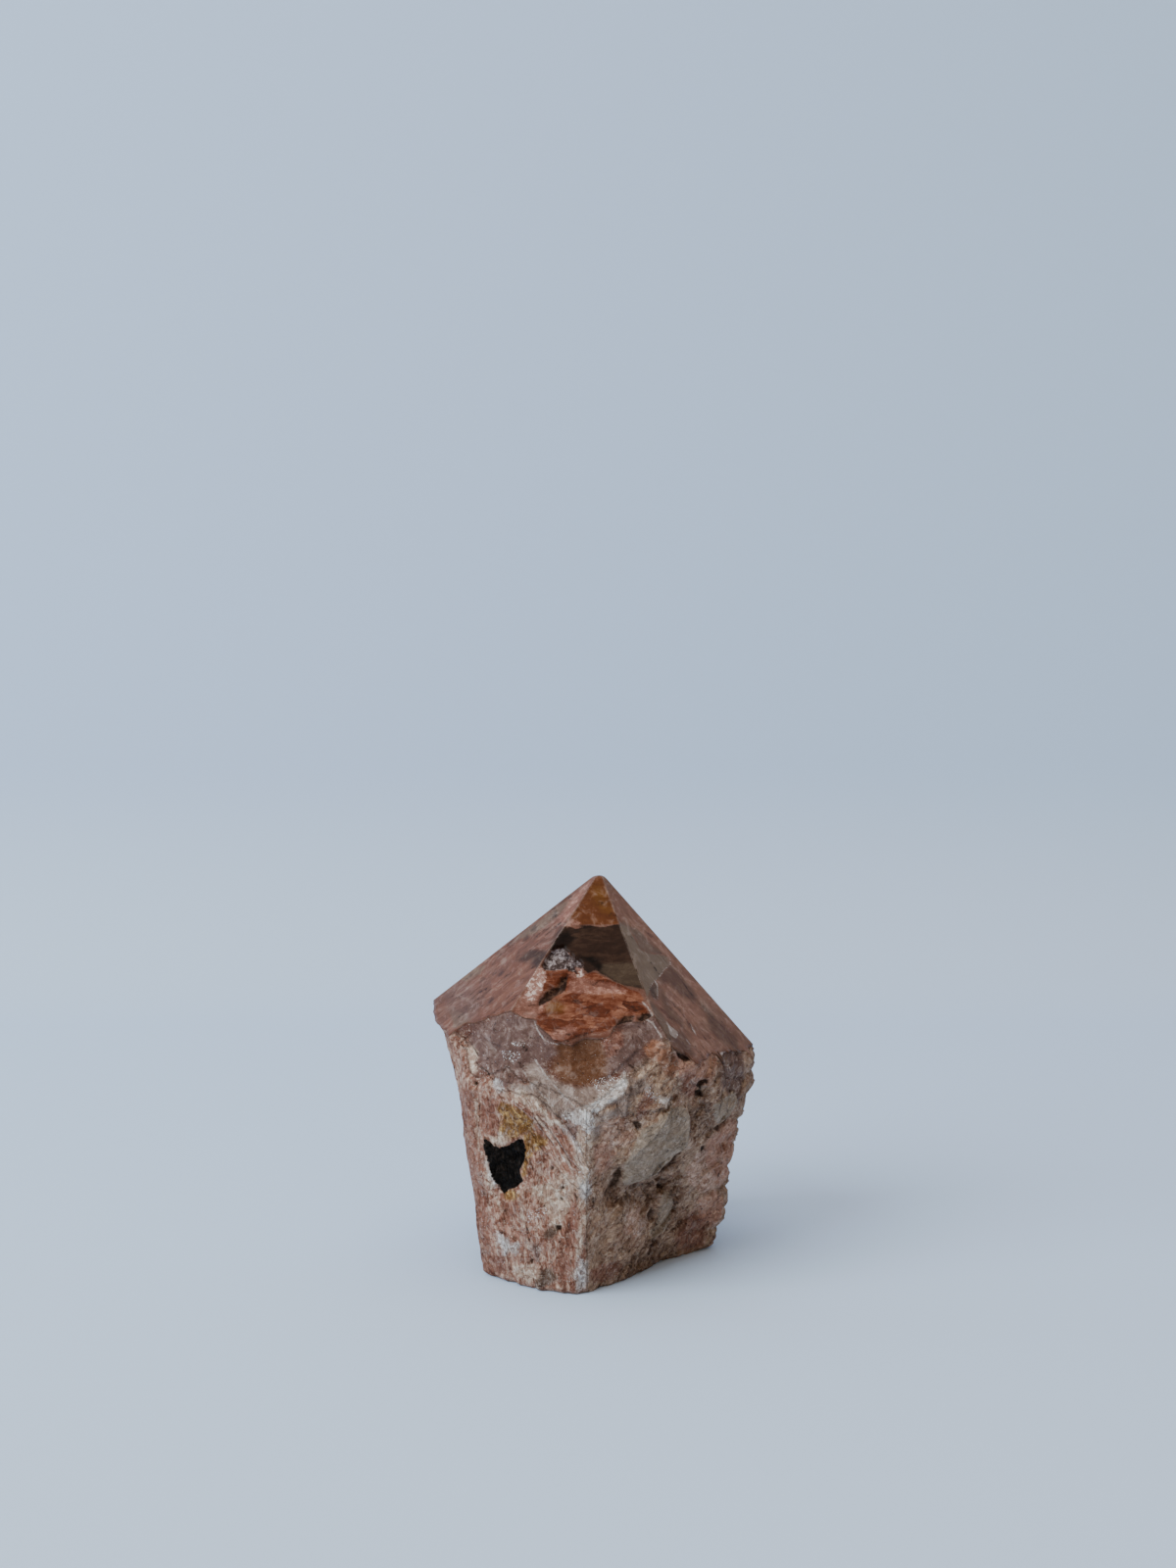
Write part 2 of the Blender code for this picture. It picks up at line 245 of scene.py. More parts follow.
FRONT_FACE = {
    "white": (
        (
            (538, 996), (544, 987), (552, 986), (558, 993), (557, 1001), (552, 1008), (554, 1012),
            (546, 1014), (536, 1006),
        ),
        ((534, 1016), (540, 1012), (547, 1015), (544, 1021), (536, 1021)),
        ((586, 984), (594, 986), (595, 996), (589, 996)),
    ),
    "smoky": (
        (
            (570, 950), (578, 944), (588, 947), (600, 944), (613, 946), (642, 941), (652, 965), (664, 996),
            (668, 1012), (640, 1006), (626, 1001), (617, 995), (608, 990), (600, 993), (595, 989),
            (592, 983), (579, 971), (571, 967), (558, 970),
        ),
    ),
    "dark smoke": (
        ((572, 952), (580, 950), (588, 958), (580, 967), (560, 969), (565, 958)),
        ((588, 975), (606, 977), (622, 988), (618, 995), (609, 990), (600, 981)),
        ((592, 943), (606, 945), (602, 949), (592, 948)),
    ),
    "black": (
        (
            (549, 1026), (551, 1018), (560, 1010), (568, 1007), (571, 999), (580, 994), (577, 1010),
            (562, 1019),
        ),
        ((627, 1051), (630, 1043), (637, 1036), (648, 1035), (645, 1043), (639, 1048), (634, 1053)),
        ((649, 1040), (656, 1034), (666, 1035), (665, 1040), (657, 1042)),
    ),
    "olive": (
        ((616, 984), (640, 982), (660, 992), (666, 1010), (636, 1005), (624, 999), (612, 991)),
    ),
    "chip": (
        (
            (553, 985), (557, 976), (562, 970), (569, 968), (575, 967), (581, 973), (588, 979), (594, 983),
            (594, 995), (589, 997), (587, 991), (577, 988), (566, 989), (556, 989),
        ),
    ),
    "rust": (
        (
            (606, 893), (618, 893), (632, 912), (638, 928), (642, 942), (613, 944), (600, 943), (590, 944),
            (584, 939), (581, 935), (586, 925), (592, 914), (599, 905),
        ),
    ),
    "amber": (
        ((603, 905), (612, 901), (618, 913), (625, 936), (612, 928), (604, 916)),
        ((556, 1031), (559, 1023), (568, 1021), (577, 1027), (574, 1034), (562, 1036)),
    ),
    "band": (
        (
            (557, 991), (566, 990), (578, 989), (587, 992), (593, 998), (598, 994), (607, 992), (618, 998),
            (628, 1003), (640, 1008), (652, 1012), (657, 1019), (655, 1024), (661, 1033), (652, 1036),
            (640, 1037), (630, 1040), (627, 1048), (618, 1052), (604, 1054), (590, 1059), (576, 1063),
            (563, 1065), (553, 1058), (546, 1047), (545, 1040), (551, 1030), (556, 1022), (552, 1010),
        ),
    ),
    "pink": (
        (
            (580, 1003), (590, 998), (606, 1001), (622, 1004), (640, 1011), (626, 1013), (606, 1014),
            (580, 1013),
        ),
        ((586, 990), (594, 998), (602, 1000), (590, 1002), (582, 996)),
        ((571, 1050), (584, 1046), (590, 1052), (580, 1060), (566, 1063), (556, 1058)),
        ((572, 944), (571, 938), (577, 929), (582, 932), (582, 937), (590, 940), (592, 944), (580, 946)),
        ((541, 1041), (547, 1030), (552, 1026), (557, 1031), (550, 1036), (546, 1041)),
        (
            (522, 1046), (530, 1020), (538, 1004), (554, 1010), (557, 1022), (548, 1034), (546, 1052),
            (530, 1052),
        ),
    ),
}
RIGHT_FACE = {
    "glass plane": (
        (
            (631, 940), (640, 946), (648, 958), (652, 968), (661, 973), (672, 974), (684, 977),
            (684, 984), (678, 989), (672, 998), (668, 1001), (664, 1008), (661, 1017), (656, 1019),
            (640, 986), (628, 957),
        ),
    ),
    # Partly real grey glass, partly a painted reflection of the sky on the polished face
    "grey glass": (
        ((636, 941), (654, 952), (664, 964), (678, 973), (661, 973), (652, 968), (648, 958)),
        ((716, 1014), (724, 1024), (740, 1040), (738, 1046), (724, 1038), (714, 1026)),
        ((657, 1020), (666, 1024), (680, 1040), (690, 1056), (684, 1064), (672, 1056), (660, 1038)),
    ),
    "olive": (
        ((662, 1011), (668, 1001), (672, 1006), (672, 1021), (664, 1018)),
    ),
    "warm smoke": (
        (
            (672, 999), (680, 988), (684, 979), (692, 986), (700, 995), (706, 1006), (713, 1018),
            (706, 1022), (694, 1014), (683, 1003), (675, 1004),
        ),
        ((672, 1006), (678, 1014), (686, 1030), (697, 1040), (697, 1049), (686, 1042), (677, 1028)),
        ((688, 1050), (696, 1052), (704, 1064), (711, 1078), (700, 1076), (688, 1068), (682, 1058)),
        ((722, 1034), (734, 1042), (752, 1058), (754, 1074), (744, 1068), (730, 1056), (722, 1044)),
    ),
    "red glass": (
        ((680, 1005), (694, 1018), (712, 1026), (718, 1040), (706, 1048), (694, 1036), (684, 1022)),
        (
            (640, 930), (652, 936), (676, 962), (700, 988), (722, 1014), (744, 1046), (734, 1044),
            (706, 1008),
        ),
        ((704, 1050), (720, 1050), (734, 1070), (722, 1084), (708, 1072)),
    ),
    "pale crack": (
        ((734, 1074), (741, 1073), (747, 1084), (749, 1096), (743, 1097), (737, 1090), (738, 1082)),
        ((681, 1045), (687, 1049), (693, 1054), (690, 1060), (684, 1056)),
        ((659, 1038), (664, 1042), (672, 1054), (669, 1055), (661, 1046)),
    ),
}
ROUGH_SIDES = {
    "mauve": (
        (
            (478, 1062), (490, 1046), (512, 1034), (541, 1024), (556, 1054), (568, 1062), (566, 1074),
            (556, 1086), (548, 1088), (545, 1098), (535, 1106), (520, 1108), (512, 1112), (503, 1101),
            (492, 1090), (485, 1076),
        ),
        (
            (634, 1052), (640, 1040), (657, 1036), (668, 1040), (680, 1058), (664, 1064), (656, 1072),
            (650, 1082), (640, 1094), (622, 1094), (620, 1080), (632, 1072), (636, 1062),
        ),
        ((684, 1060), (692, 1062), (698, 1078), (700, 1094), (690, 1092), (688, 1076)),
        (
            (728, 1066), (740, 1060), (758, 1060), (760, 1100), (754, 1128), (742, 1118), (734, 1100),
            (730, 1082),
        ),
        ((574, 1146), (588, 1146), (594, 1156), (590, 1166), (582, 1160)),
        ((541, 1268), (549, 1270), (551, 1288), (546, 1286)),
    ),
    "brown quartz": (
        (
            (566, 1064), (585, 1056), (602, 1048), (613, 1050), (617, 1072), (620, 1082), (618, 1098),
            (606, 1108), (590, 1110), (576, 1108), (562, 1094), (562, 1084), (570, 1076),
        ),
        ((549, 1116), (562, 1121), (570, 1134), (560, 1136), (552, 1128)),
    ),
    "red brown": (
        ((614, 1057), (622, 1053), (634, 1052), (636, 1062), (632, 1072), (622, 1080), (617, 1072)),
        (
            (474, 1104), (484, 1118), (490, 1160), (492, 1200), (499, 1240), (504, 1310), (488, 1300),
            (462, 1130),
        ),
        (
            (492, 1122), (504, 1118), (507, 1126), (504, 1138), (513, 1148), (508, 1160), (496, 1158),
            (490, 1146),
        ),
        ((588, 1219), (591, 1235), (590, 1262), (583, 1275), (577, 1280), (578, 1262), (580, 1240)),
        ((497, 1280), (512, 1280), (517, 1292), (510, 1300), (498, 1299)),
        ((512, 1226), (524, 1222), (532, 1230), (524, 1244), (516, 1240)),
        ((566, 1286), (580, 1280), (586, 1290), (574, 1304), (566, 1298)),
        ((655, 1115), (662, 1111), (667, 1124), (656, 1140), (648, 1146), (650, 1130)),
        ((559, 1142), (575, 1146), (581, 1158), (580, 1167), (572, 1162), (563, 1150)),
        ((700, 1094), (712, 1098), (712, 1116), (703, 1122), (694, 1112)),
        ((692, 1250), (706, 1236), (722, 1244), (718, 1270), (700, 1278), (688, 1274)),
        ((602, 1294), (630, 1286), (640, 1296), (618, 1308), (602, 1308)),
    ),
    "clear quartz": (
        (
            (512, 1112), (525, 1107), (540, 1107), (549, 1090), (560, 1097), (573, 1106), (590, 1110),
            (610, 1109), (625, 1102), (640, 1098), (662, 1104), (668, 1110), (655, 1116), (640, 1124),
            (620, 1130), (604, 1140), (590, 1148), (576, 1144), (562, 1139), (546, 1122), (535, 1114),
        ),
        ((612, 1134), (628, 1130), (644, 1122), (640, 1138), (620, 1150), (604, 1168), (604, 1144)),
        (
            (534, 1088), (547, 1083), (558, 1101), (573, 1118), (590, 1136), (580, 1140), (560, 1126),
            (544, 1108),
        ),
    ),
    "frost": (
        (
            (573, 1138), (582, 1136), (594, 1130), (604, 1126), (620, 1116), (630, 1106), (637, 1096),
            (641, 1104), (634, 1116), (622, 1126), (606, 1136), (605, 1148), (600, 1160), (594, 1152),
            (588, 1146), (578, 1143),
        ),
        ((503, 1102), (509, 1102), (513, 1112), (510, 1115), (505, 1110)),
        ((590, 1208), (600, 1205), (605, 1214), (598, 1227), (592, 1220)),
        (
            (507, 1257), (516, 1262), (521, 1271), (531, 1268), (527, 1280), (519, 1276), (514, 1286),
            (512, 1270),
        ),
        ((590, 1281), (597, 1285), (600, 1300), (598, 1315), (590, 1316), (588, 1300)),
        ((673, 1128), (679, 1120), (684, 1121), (679, 1127), (674, 1130)),
    ),
    "cream": (
        ((478, 1068), (484, 1068), (487, 1080), (486, 1094), (481, 1098), (478, 1086)),
        (
            (514, 1117), (522, 1115), (535, 1113), (547, 1123), (562, 1140), (576, 1145), (576, 1149),
            (562, 1148), (548, 1136), (532, 1126), (518, 1121),
        ),
        ((501, 1161), (512, 1157), (520, 1161), (518, 1169), (506, 1173), (500, 1167)),
        (
            (590, 1150), (604, 1142), (605, 1166), (605, 1186), (606, 1200), (603, 1214), (598, 1228),
            (594, 1240), (588, 1222), (583, 1212), (588, 1194), (586, 1172),
        ),
        (
            (540, 1214), (556, 1208), (576, 1196), (588, 1200), (588, 1216), (580, 1236), (572, 1250),
            (566, 1254), (560, 1240), (550, 1226),
        ),
        ((594, 1238), (600, 1240), (596, 1262), (592, 1284), (588, 1280), (590, 1262)),
        ((524, 1292), (545, 1290), (552, 1304), (536, 1308), (524, 1302)),
    ),
    "ochre": (
        (
            (505, 1131), (510, 1125), (522, 1128), (535, 1135), (546, 1146), (544, 1154), (534, 1158),
            (522, 1162), (511, 1166), (510, 1152), (513, 1140),
        ),
        (
            (532, 1158), (546, 1155), (558, 1162), (558, 1170), (546, 1174), (540, 1184), (537, 1200),
            (532, 1202), (533, 1180), (535, 1168),
        ),
        ((512, 1216), (522, 1213), (530, 1219), (524, 1226), (514, 1224)),
    ),
    "orange crystal": (
        (
            (656, 1068), (666, 1061), (676, 1063), (686, 1072), (690, 1086), (688, 1099), (679, 1096),
            (672, 1084), (660, 1078),
        ),
    ),
    "black": (
        ((561, 1190), (565, 1190), (565, 1195), (561, 1195)),
        ((572, 1211), (576, 1210), (576, 1215), (572, 1216)),
        ((570, 1221), (573, 1221), (576, 1226), (572, 1226)),
        ((541, 1284), (544, 1285), (543, 1290), (540, 1289)),
        ((482, 1104), (486, 1103), (487, 1108), (483, 1109)),
        ((568, 1251), (573, 1251), (572, 1256), (567, 1255)),
        ((645, 1145), (652, 1144), (655, 1150), (650, 1153)),
        ((711, 1108), (714, 1103), (721, 1101), (725, 1102), (723, 1106), (718, 1106), (716, 1112)),
        ((710, 1113), (715, 1111), (718, 1114), (719, 1118), (713, 1119), (710, 1121)),
        ((690, 1070), (698, 1073), (709, 1080), (706, 1084), (699, 1083), (692, 1078)),
        ((716, 1176), (716, 1170), (720, 1169), (719, 1173)),
    ),
    # Painted shade: dark patches where shade falls in the hollows under the ledges, over a real sunk bed
    "crevice": (
        (
            (632, 1191), (635, 1196), (632, 1207), (626, 1211), (618, 1222), (616, 1219), (623, 1207),
            (627, 1198),
        ),
        (
            (695, 1175), (694, 1180), (689, 1188), (681, 1193), (673, 1198), (676, 1192), (683, 1186),
            (689, 1179),
        ),
        ((663, 1246), (661, 1240), (665, 1234), (669, 1234), (668, 1239), (666, 1244)),
        ((671, 1213), (675, 1209), (679, 1211), (676, 1216)),
        ((729, 1153), (736, 1148), (743, 1140), (742, 1145), (734, 1154)),
    ),
    "shaded brown": (
        (
            (612, 1226), (626, 1212), (640, 1210), (652, 1206), (664, 1204), (672, 1198), (690, 1202),
            (695, 1212), (693, 1232), (689, 1247), (683, 1240), (684, 1222), (674, 1216), (664, 1234),
            (650, 1226), (636, 1232), (622, 1229),
        ),
        (
            (640, 1288), (652, 1276), (664, 1263), (676, 1266), (690, 1270), (694, 1281), (668, 1294),
            (640, 1306), (626, 1308), (632, 1296),
        ),
        ((680, 1246), (694, 1240), (702, 1244), (700, 1254), (690, 1258), (680, 1256)),
        (
            (704, 1128), (716, 1123), (727, 1128), (728, 1146), (722, 1158), (712, 1164), (704, 1160),
            (705, 1142),
        ),
    ),
    "feldspar": (
        (
            (655, 1152), (672, 1142), (684, 1131), (696, 1128), (704, 1138), (704, 1158), (700, 1170),
            (690, 1180), (680, 1189), (670, 1197), (658, 1204), (646, 1208), (636, 1210), (635, 1198),
            (637, 1188), (642, 1178), (649, 1165),
        ),
        ((728, 1127), (738, 1119), (748, 1112), (752, 1124), (744, 1138), (736, 1145), (730, 1147)),
        (
            (674, 1218), (682, 1215), (687, 1226), (686, 1240), (678, 1255), (664, 1266), (662, 1257),
            (670, 1244),
        ),
    ),
    "rosy grains": (
        (
            (620, 1142), (634, 1139), (645, 1147), (649, 1157), (640, 1168), (626, 1172), (614, 1166),
            (612, 1152),
        ),
        ((700, 1196), (712, 1176), (720, 1190), (732, 1206), (730, 1216), (712, 1216), (702, 1206)),
        ((640, 1240), (652, 1234), (656, 1250), (650, 1262), (638, 1258)),
    ),
    "salmon": (
        (
            (717, 1176), (722, 1162), (732, 1156), (746, 1142), (756, 1146), (756, 1200), (746, 1216),
            (732, 1212), (722, 1196),
        ),
        ((712, 1224), (728, 1214), (742, 1220), (740, 1246), (726, 1252), (712, 1244)),
        ((606, 1170), (620, 1164), (628, 1176), (622, 1192), (608, 1200)),
        ((688, 1070), (704, 1066), (726, 1066), (734, 1080), (724, 1110), (706, 1102), (694, 1100)),
        ((520, 1250), (530, 1262), (516, 1260), (508, 1250)),
    ),
    "mica": (
        (
            (494, 1160), (503, 1170), (509, 1171), (520, 1168), (526, 1164), (532, 1162), (537, 1171),
            (534, 1185), (530, 1194), (533, 1205), (527, 1211), (520, 1214), (512, 1219), (508, 1211),
            (502, 1200), (497, 1187), (493, 1172),
        ),
    ),
    "olive": (
        ((556, 1256), (562, 1252), (572, 1250), (568, 1260), (560, 1266), (553, 1262)),
        ((545, 1308), (552, 1296), (566, 1294), (569, 1304), (560, 1312), (548, 1316)),
    ),
}

# Thin veins and cracks: half width in pixels and the path
VEINS = {
    "frost": (
        (0.8, ((573, 1147), (580, 1156), (588, 1168), (594, 1178))),
        (0.7, ((497, 1182), (500, 1196), (505, 1207), (509, 1212))),
    ),
    "pale crack": (
        (0.9, ((659, 1040), (666, 1044), (671, 1052), (676, 1060))),
        (0.6, ((680, 1042), (684, 1051), (690, 1058))),
        (0.6, ((655, 1022), (661, 1028), (666, 1036))),
        (0.6, ((668, 1001), (671, 1005), (671, 1020), (664, 1018))),
        (0.6, ((684, 977), (684, 984), (678, 989), (672, 998), (667, 1001), (662, 1010))),
        (0.5, ((704, 1044), (710, 1056))),
        (0.6, ((700, 1060), (704, 1066))),
        (0.8, ((546, 1081), (557, 1098), (572, 1115), (584, 1127), (592, 1137))),
        (0.7, ((545, 1042), (549, 1052), (556, 1062), (568, 1066))),
        (0.6, ((532, 1090), (541, 1104), (553, 1118), (565, 1130))),
        (0.6, ((636, 1095), (628, 1104), (618, 1112), (606, 1122))),
        (0.6, ((548, 1148), (560, 1160), (572, 1178), (586, 1196))),
        (0.6, ((556, 1150), (568, 1162), (580, 1180), (590, 1192))),
        (0.6, ((520, 1122), (532, 1132), (544, 1142))),
    ),
    "cream": (
        (0.8, ((536, 1124), (548, 1138), (562, 1160), (574, 1180), (584, 1198))),
        (1.1, ((494, 1170), (496, 1190), (502, 1214), (510, 1232))),
        (0.9, ((531, 1226), (535, 1250), (539, 1272))),
        (0.8, ((486, 1120), (487, 1150), (489, 1170))),
    ),
    "dark crack": (
        (0.7, ((470, 1064), (475, 1060), (481, 1054))),
        (0.9, ((470, 1064), (472, 1068), (476, 1071))),
        (0.6, ((475, 1064), (480, 1063), (484, 1070), (488, 1077))),
        (0.8, ((486, 1084), (491, 1089), (497, 1093), (501, 1099), (504, 1102))),
        (0.8, ((571, 1064), (583, 1061), (597, 1056), (606, 1052))),
        (0.5, ((545, 1140), (556, 1156), (566, 1170))),
        (0.5, ((536, 1175), (541, 1163))),
        (0.6, ((497, 1226), (501, 1232))),
        (0.5, ((547, 1136), (560, 1152), (574, 1172), (584, 1190))),
    ),
}

# Clusters of painted glints, small white highlights, as outlines in the same pixels
SPARKLES = (
    ((521, 1063), (534, 1062), (535, 1068), (523, 1069)),
    ((511, 1071), (531, 1072), (532, 1080), (524, 1086), (513, 1080)),
    ((568, 1132), (580, 1134), (586, 1142), (574, 1143)),
    ((600, 1104), (622, 1096), (640, 1098), (634, 1112), (610, 1116)),
    ((594, 1140), (606, 1132), (608, 1150), (600, 1170), (594, 1156)),
    ((588, 1190), (604, 1188), (606, 1212), (594, 1216)),
    ((536, 1234), (560, 1230), (556, 1244), (538, 1250)),
    ((660, 1106), (680, 1120), (672, 1130), (656, 1116)),
)

# The zone of slanting fibres at the front, as an outline in the same pixels
FRONT_FIBRES = (
    (506, 1112), (520, 1114), (546, 1118), (577, 1147), (590, 1166), (602, 1196), (590, 1214), (572, 1196),
    (552, 1172), (536, 1146), (514, 1126),
)

# A side counts as seen where it turns towards the eye by more than EDGE_ON, and fades out over
# EDGE_FADE; unseen, an outline loses OUTLINE_FADE mm, and seen, a far patch loses PATCH_FADE mm
EDGE_ON, EDGE_FADE = -0.02, 0.12
OUTLINE_FADE, PATCH_FADE = 3, 6
# The depth in mm that a place without a mineral is given
FAR = -3.0
# Patches of the sides that the photograph doesn't show, drawn out along the grain, with the share
# of the finer noise that frays their rims and how much smaller it is. Each mineral lies where noise
# is over a level: size of the patches in mm, level, and seed
FAR_STRETCH = 1.8
FAR_FRAY, FAR_FRAY_SIZE = 0.45, 2.7
FAR_SIDES = {
    "mauve": (8.0, 0.34, 101), "clear quartz": (7.0, 0.46, 102), "feldspar": (6.0, 0.60, 103),
    "red brown": (7.0, 0.20, 104), "salmon": (9.0, 0.30, 105), "cream": (6.0, 0.36, 106),
    "frost": (4.0, 0.72, 107), "band": (6.0, 0.52, 108), "ochre": (5.0, 0.60, 109),
    "crevice": (3.4, 0.66, 110), "shaded brown": (6.0, 0.50, 111), "mica": (4.0, 0.98, 112),
}
FAR_TIP = {
    "grey glass": (9.0, 0.30, 121), "warm smoke": (8.0, 0.60, 122), "rosy": (8.0, 0.10, 123),
    "lilac": (9.0, 0.20, 124), "soft smoke": (6.0, 0.50, 125), "pink": (5.0, 0.48, 126),
    "amber": (8.0, 0.62, 127),
}

# Minerals that lie deeper than the surface around them: how deep, how rough the bed is and how wide
# the slope down to it is, in mm; and the size, tilt and seed of the flat faces of a bed
BED_FACES = (1.4, 0.7, 61)
SUNK = {
    "chip": (0.75, 0.55, 0.4), "black": (0.45, 0.2, 0.45), "mica": (0.3, 0.45, 0.45),
    "feldspar": (-0.35, 0.0, 0.35), "crevice": (0.8, 0.3, 0.8), "shaded brown": (0.35, 0.6, 1.6),
    "brown quartz": (0.35, 0.0, 2.0),
}
# Looks: the dark, the middle and the light colour, as red, green and blue from 0 to 255; the share
# of streaks in the tone, its contrast, and the roughness. Here those of the ground of each side and
# face, with the number on the mesh that says where it lies
GROUND = {
    "left side": ((108, 64, 48), (158, 113, 94), (220, 187, 165), 0.5, 4.4, 0.62, ""),
    "right side": ((98, 72, 55), (170, 137, 113), (224, 196, 170), 0.5, 3.4, 0.68, "right side"),
    "shoulder": ((61, 40, 34), (88, 62, 54), (129, 100, 89), 0.4, 2.6, 0.35, "glassy"),
    "tip": ((68, 43, 34), (101, 68, 56), (134, 101, 86), 0.6, 2.2, 0.32, "polish"),
    "right face": ((78, 53, 41), (119, 85, 68), (158, 121, 100), 0.45, 2.2, 0.32, "right face"),
}
# The rim of a ground: how ragged and how soft it is, and how much it covers
GROUND_RIM = (0.0, 0.9, 1.0)
# The depth in mm of a place that is well inside
INSIDE = 9.0
# Colours of the effects that all minerals share, and how strong each is
RUSTY_TINT = (128, 72, 54)
PALE_STREAK = (206, 180, 162)
DARK_FLECK = (40, 28, 22)
DARK_SEAM = (66, 44, 34)
PALE_SEAM = (226, 204, 188)
VEIL = (200, 184, 174)
# The pale line along the tip's facet edges: partly real wear and chips, partly a painted highlight
EDGE_WEAR_AND_HIGHLIGHT = (178, 158, 144)
# Colour of the painted glints, small white highlights
PAINTED_GLINT = (250, 248, 246)
TINT_SHARE = 0.25
SEAM_SHARE = 0.6
CRACK_SHARE = 0.5
FLECK_SHARE = 0.8
PAINTED_GLINT_SHARE = 0.85
EDGE_WEAR_AND_HIGHLIGHT_SHARE = 0.3
# Strength of the pale streaks, the veil and the fine streaks: on rough stone and on smooth
PALE_SHARES = (0.6, 0.12)
VEIL_SHARES = (0.34, 0.14)
FINE_SHARES = (0.58, 0.2)
# Painted highlights: noise over this level glints; where it is cloudy and in the clusters the level is
# lower
GLINT_LEVEL = 0.72
CLOUDY_GLINTS = 0.05
CLUSTER_GLINTS = 0.15
GLINT_SHARPNESS = 16.0
# The shares of single crystal pieces in the streaks and of fine grain in ragged rims and in tones
FLAKE_SHARE = 0.3
FRAY_SHARE = 0.22
FINE_GRAIN_SHARE = 0.45
PIECE_SHARE = 0.22
GLASS_GRAIN_SHARE = 0.2
# How far the glassy shoulder is like the polished tip: in its veil, its cracks and its relief
GLASSY_VEIL = 0.8
GLASSY_CRACKS = 0.85
GLASSY_RELIEF = 0.75
# The polish: roughness, coat and how much light the stone throws back
POLISHED_ROUGHNESS = 0.34
COAT = 0.02
COAT_ROUGHNESS = 0.15
SPECULAR = 0.06
# The finest relief, left to the shader: its depth in mm and the share of each pattern in it
BUMP_DEPTH = 0.4
BUMP_STRENGTH = 0.9
BUMP_PIECES = 0.3
BUMP_GRAIN = 0.4
BUMP_SEAMS = 0.35
POLISHED_BUMP = 1.02

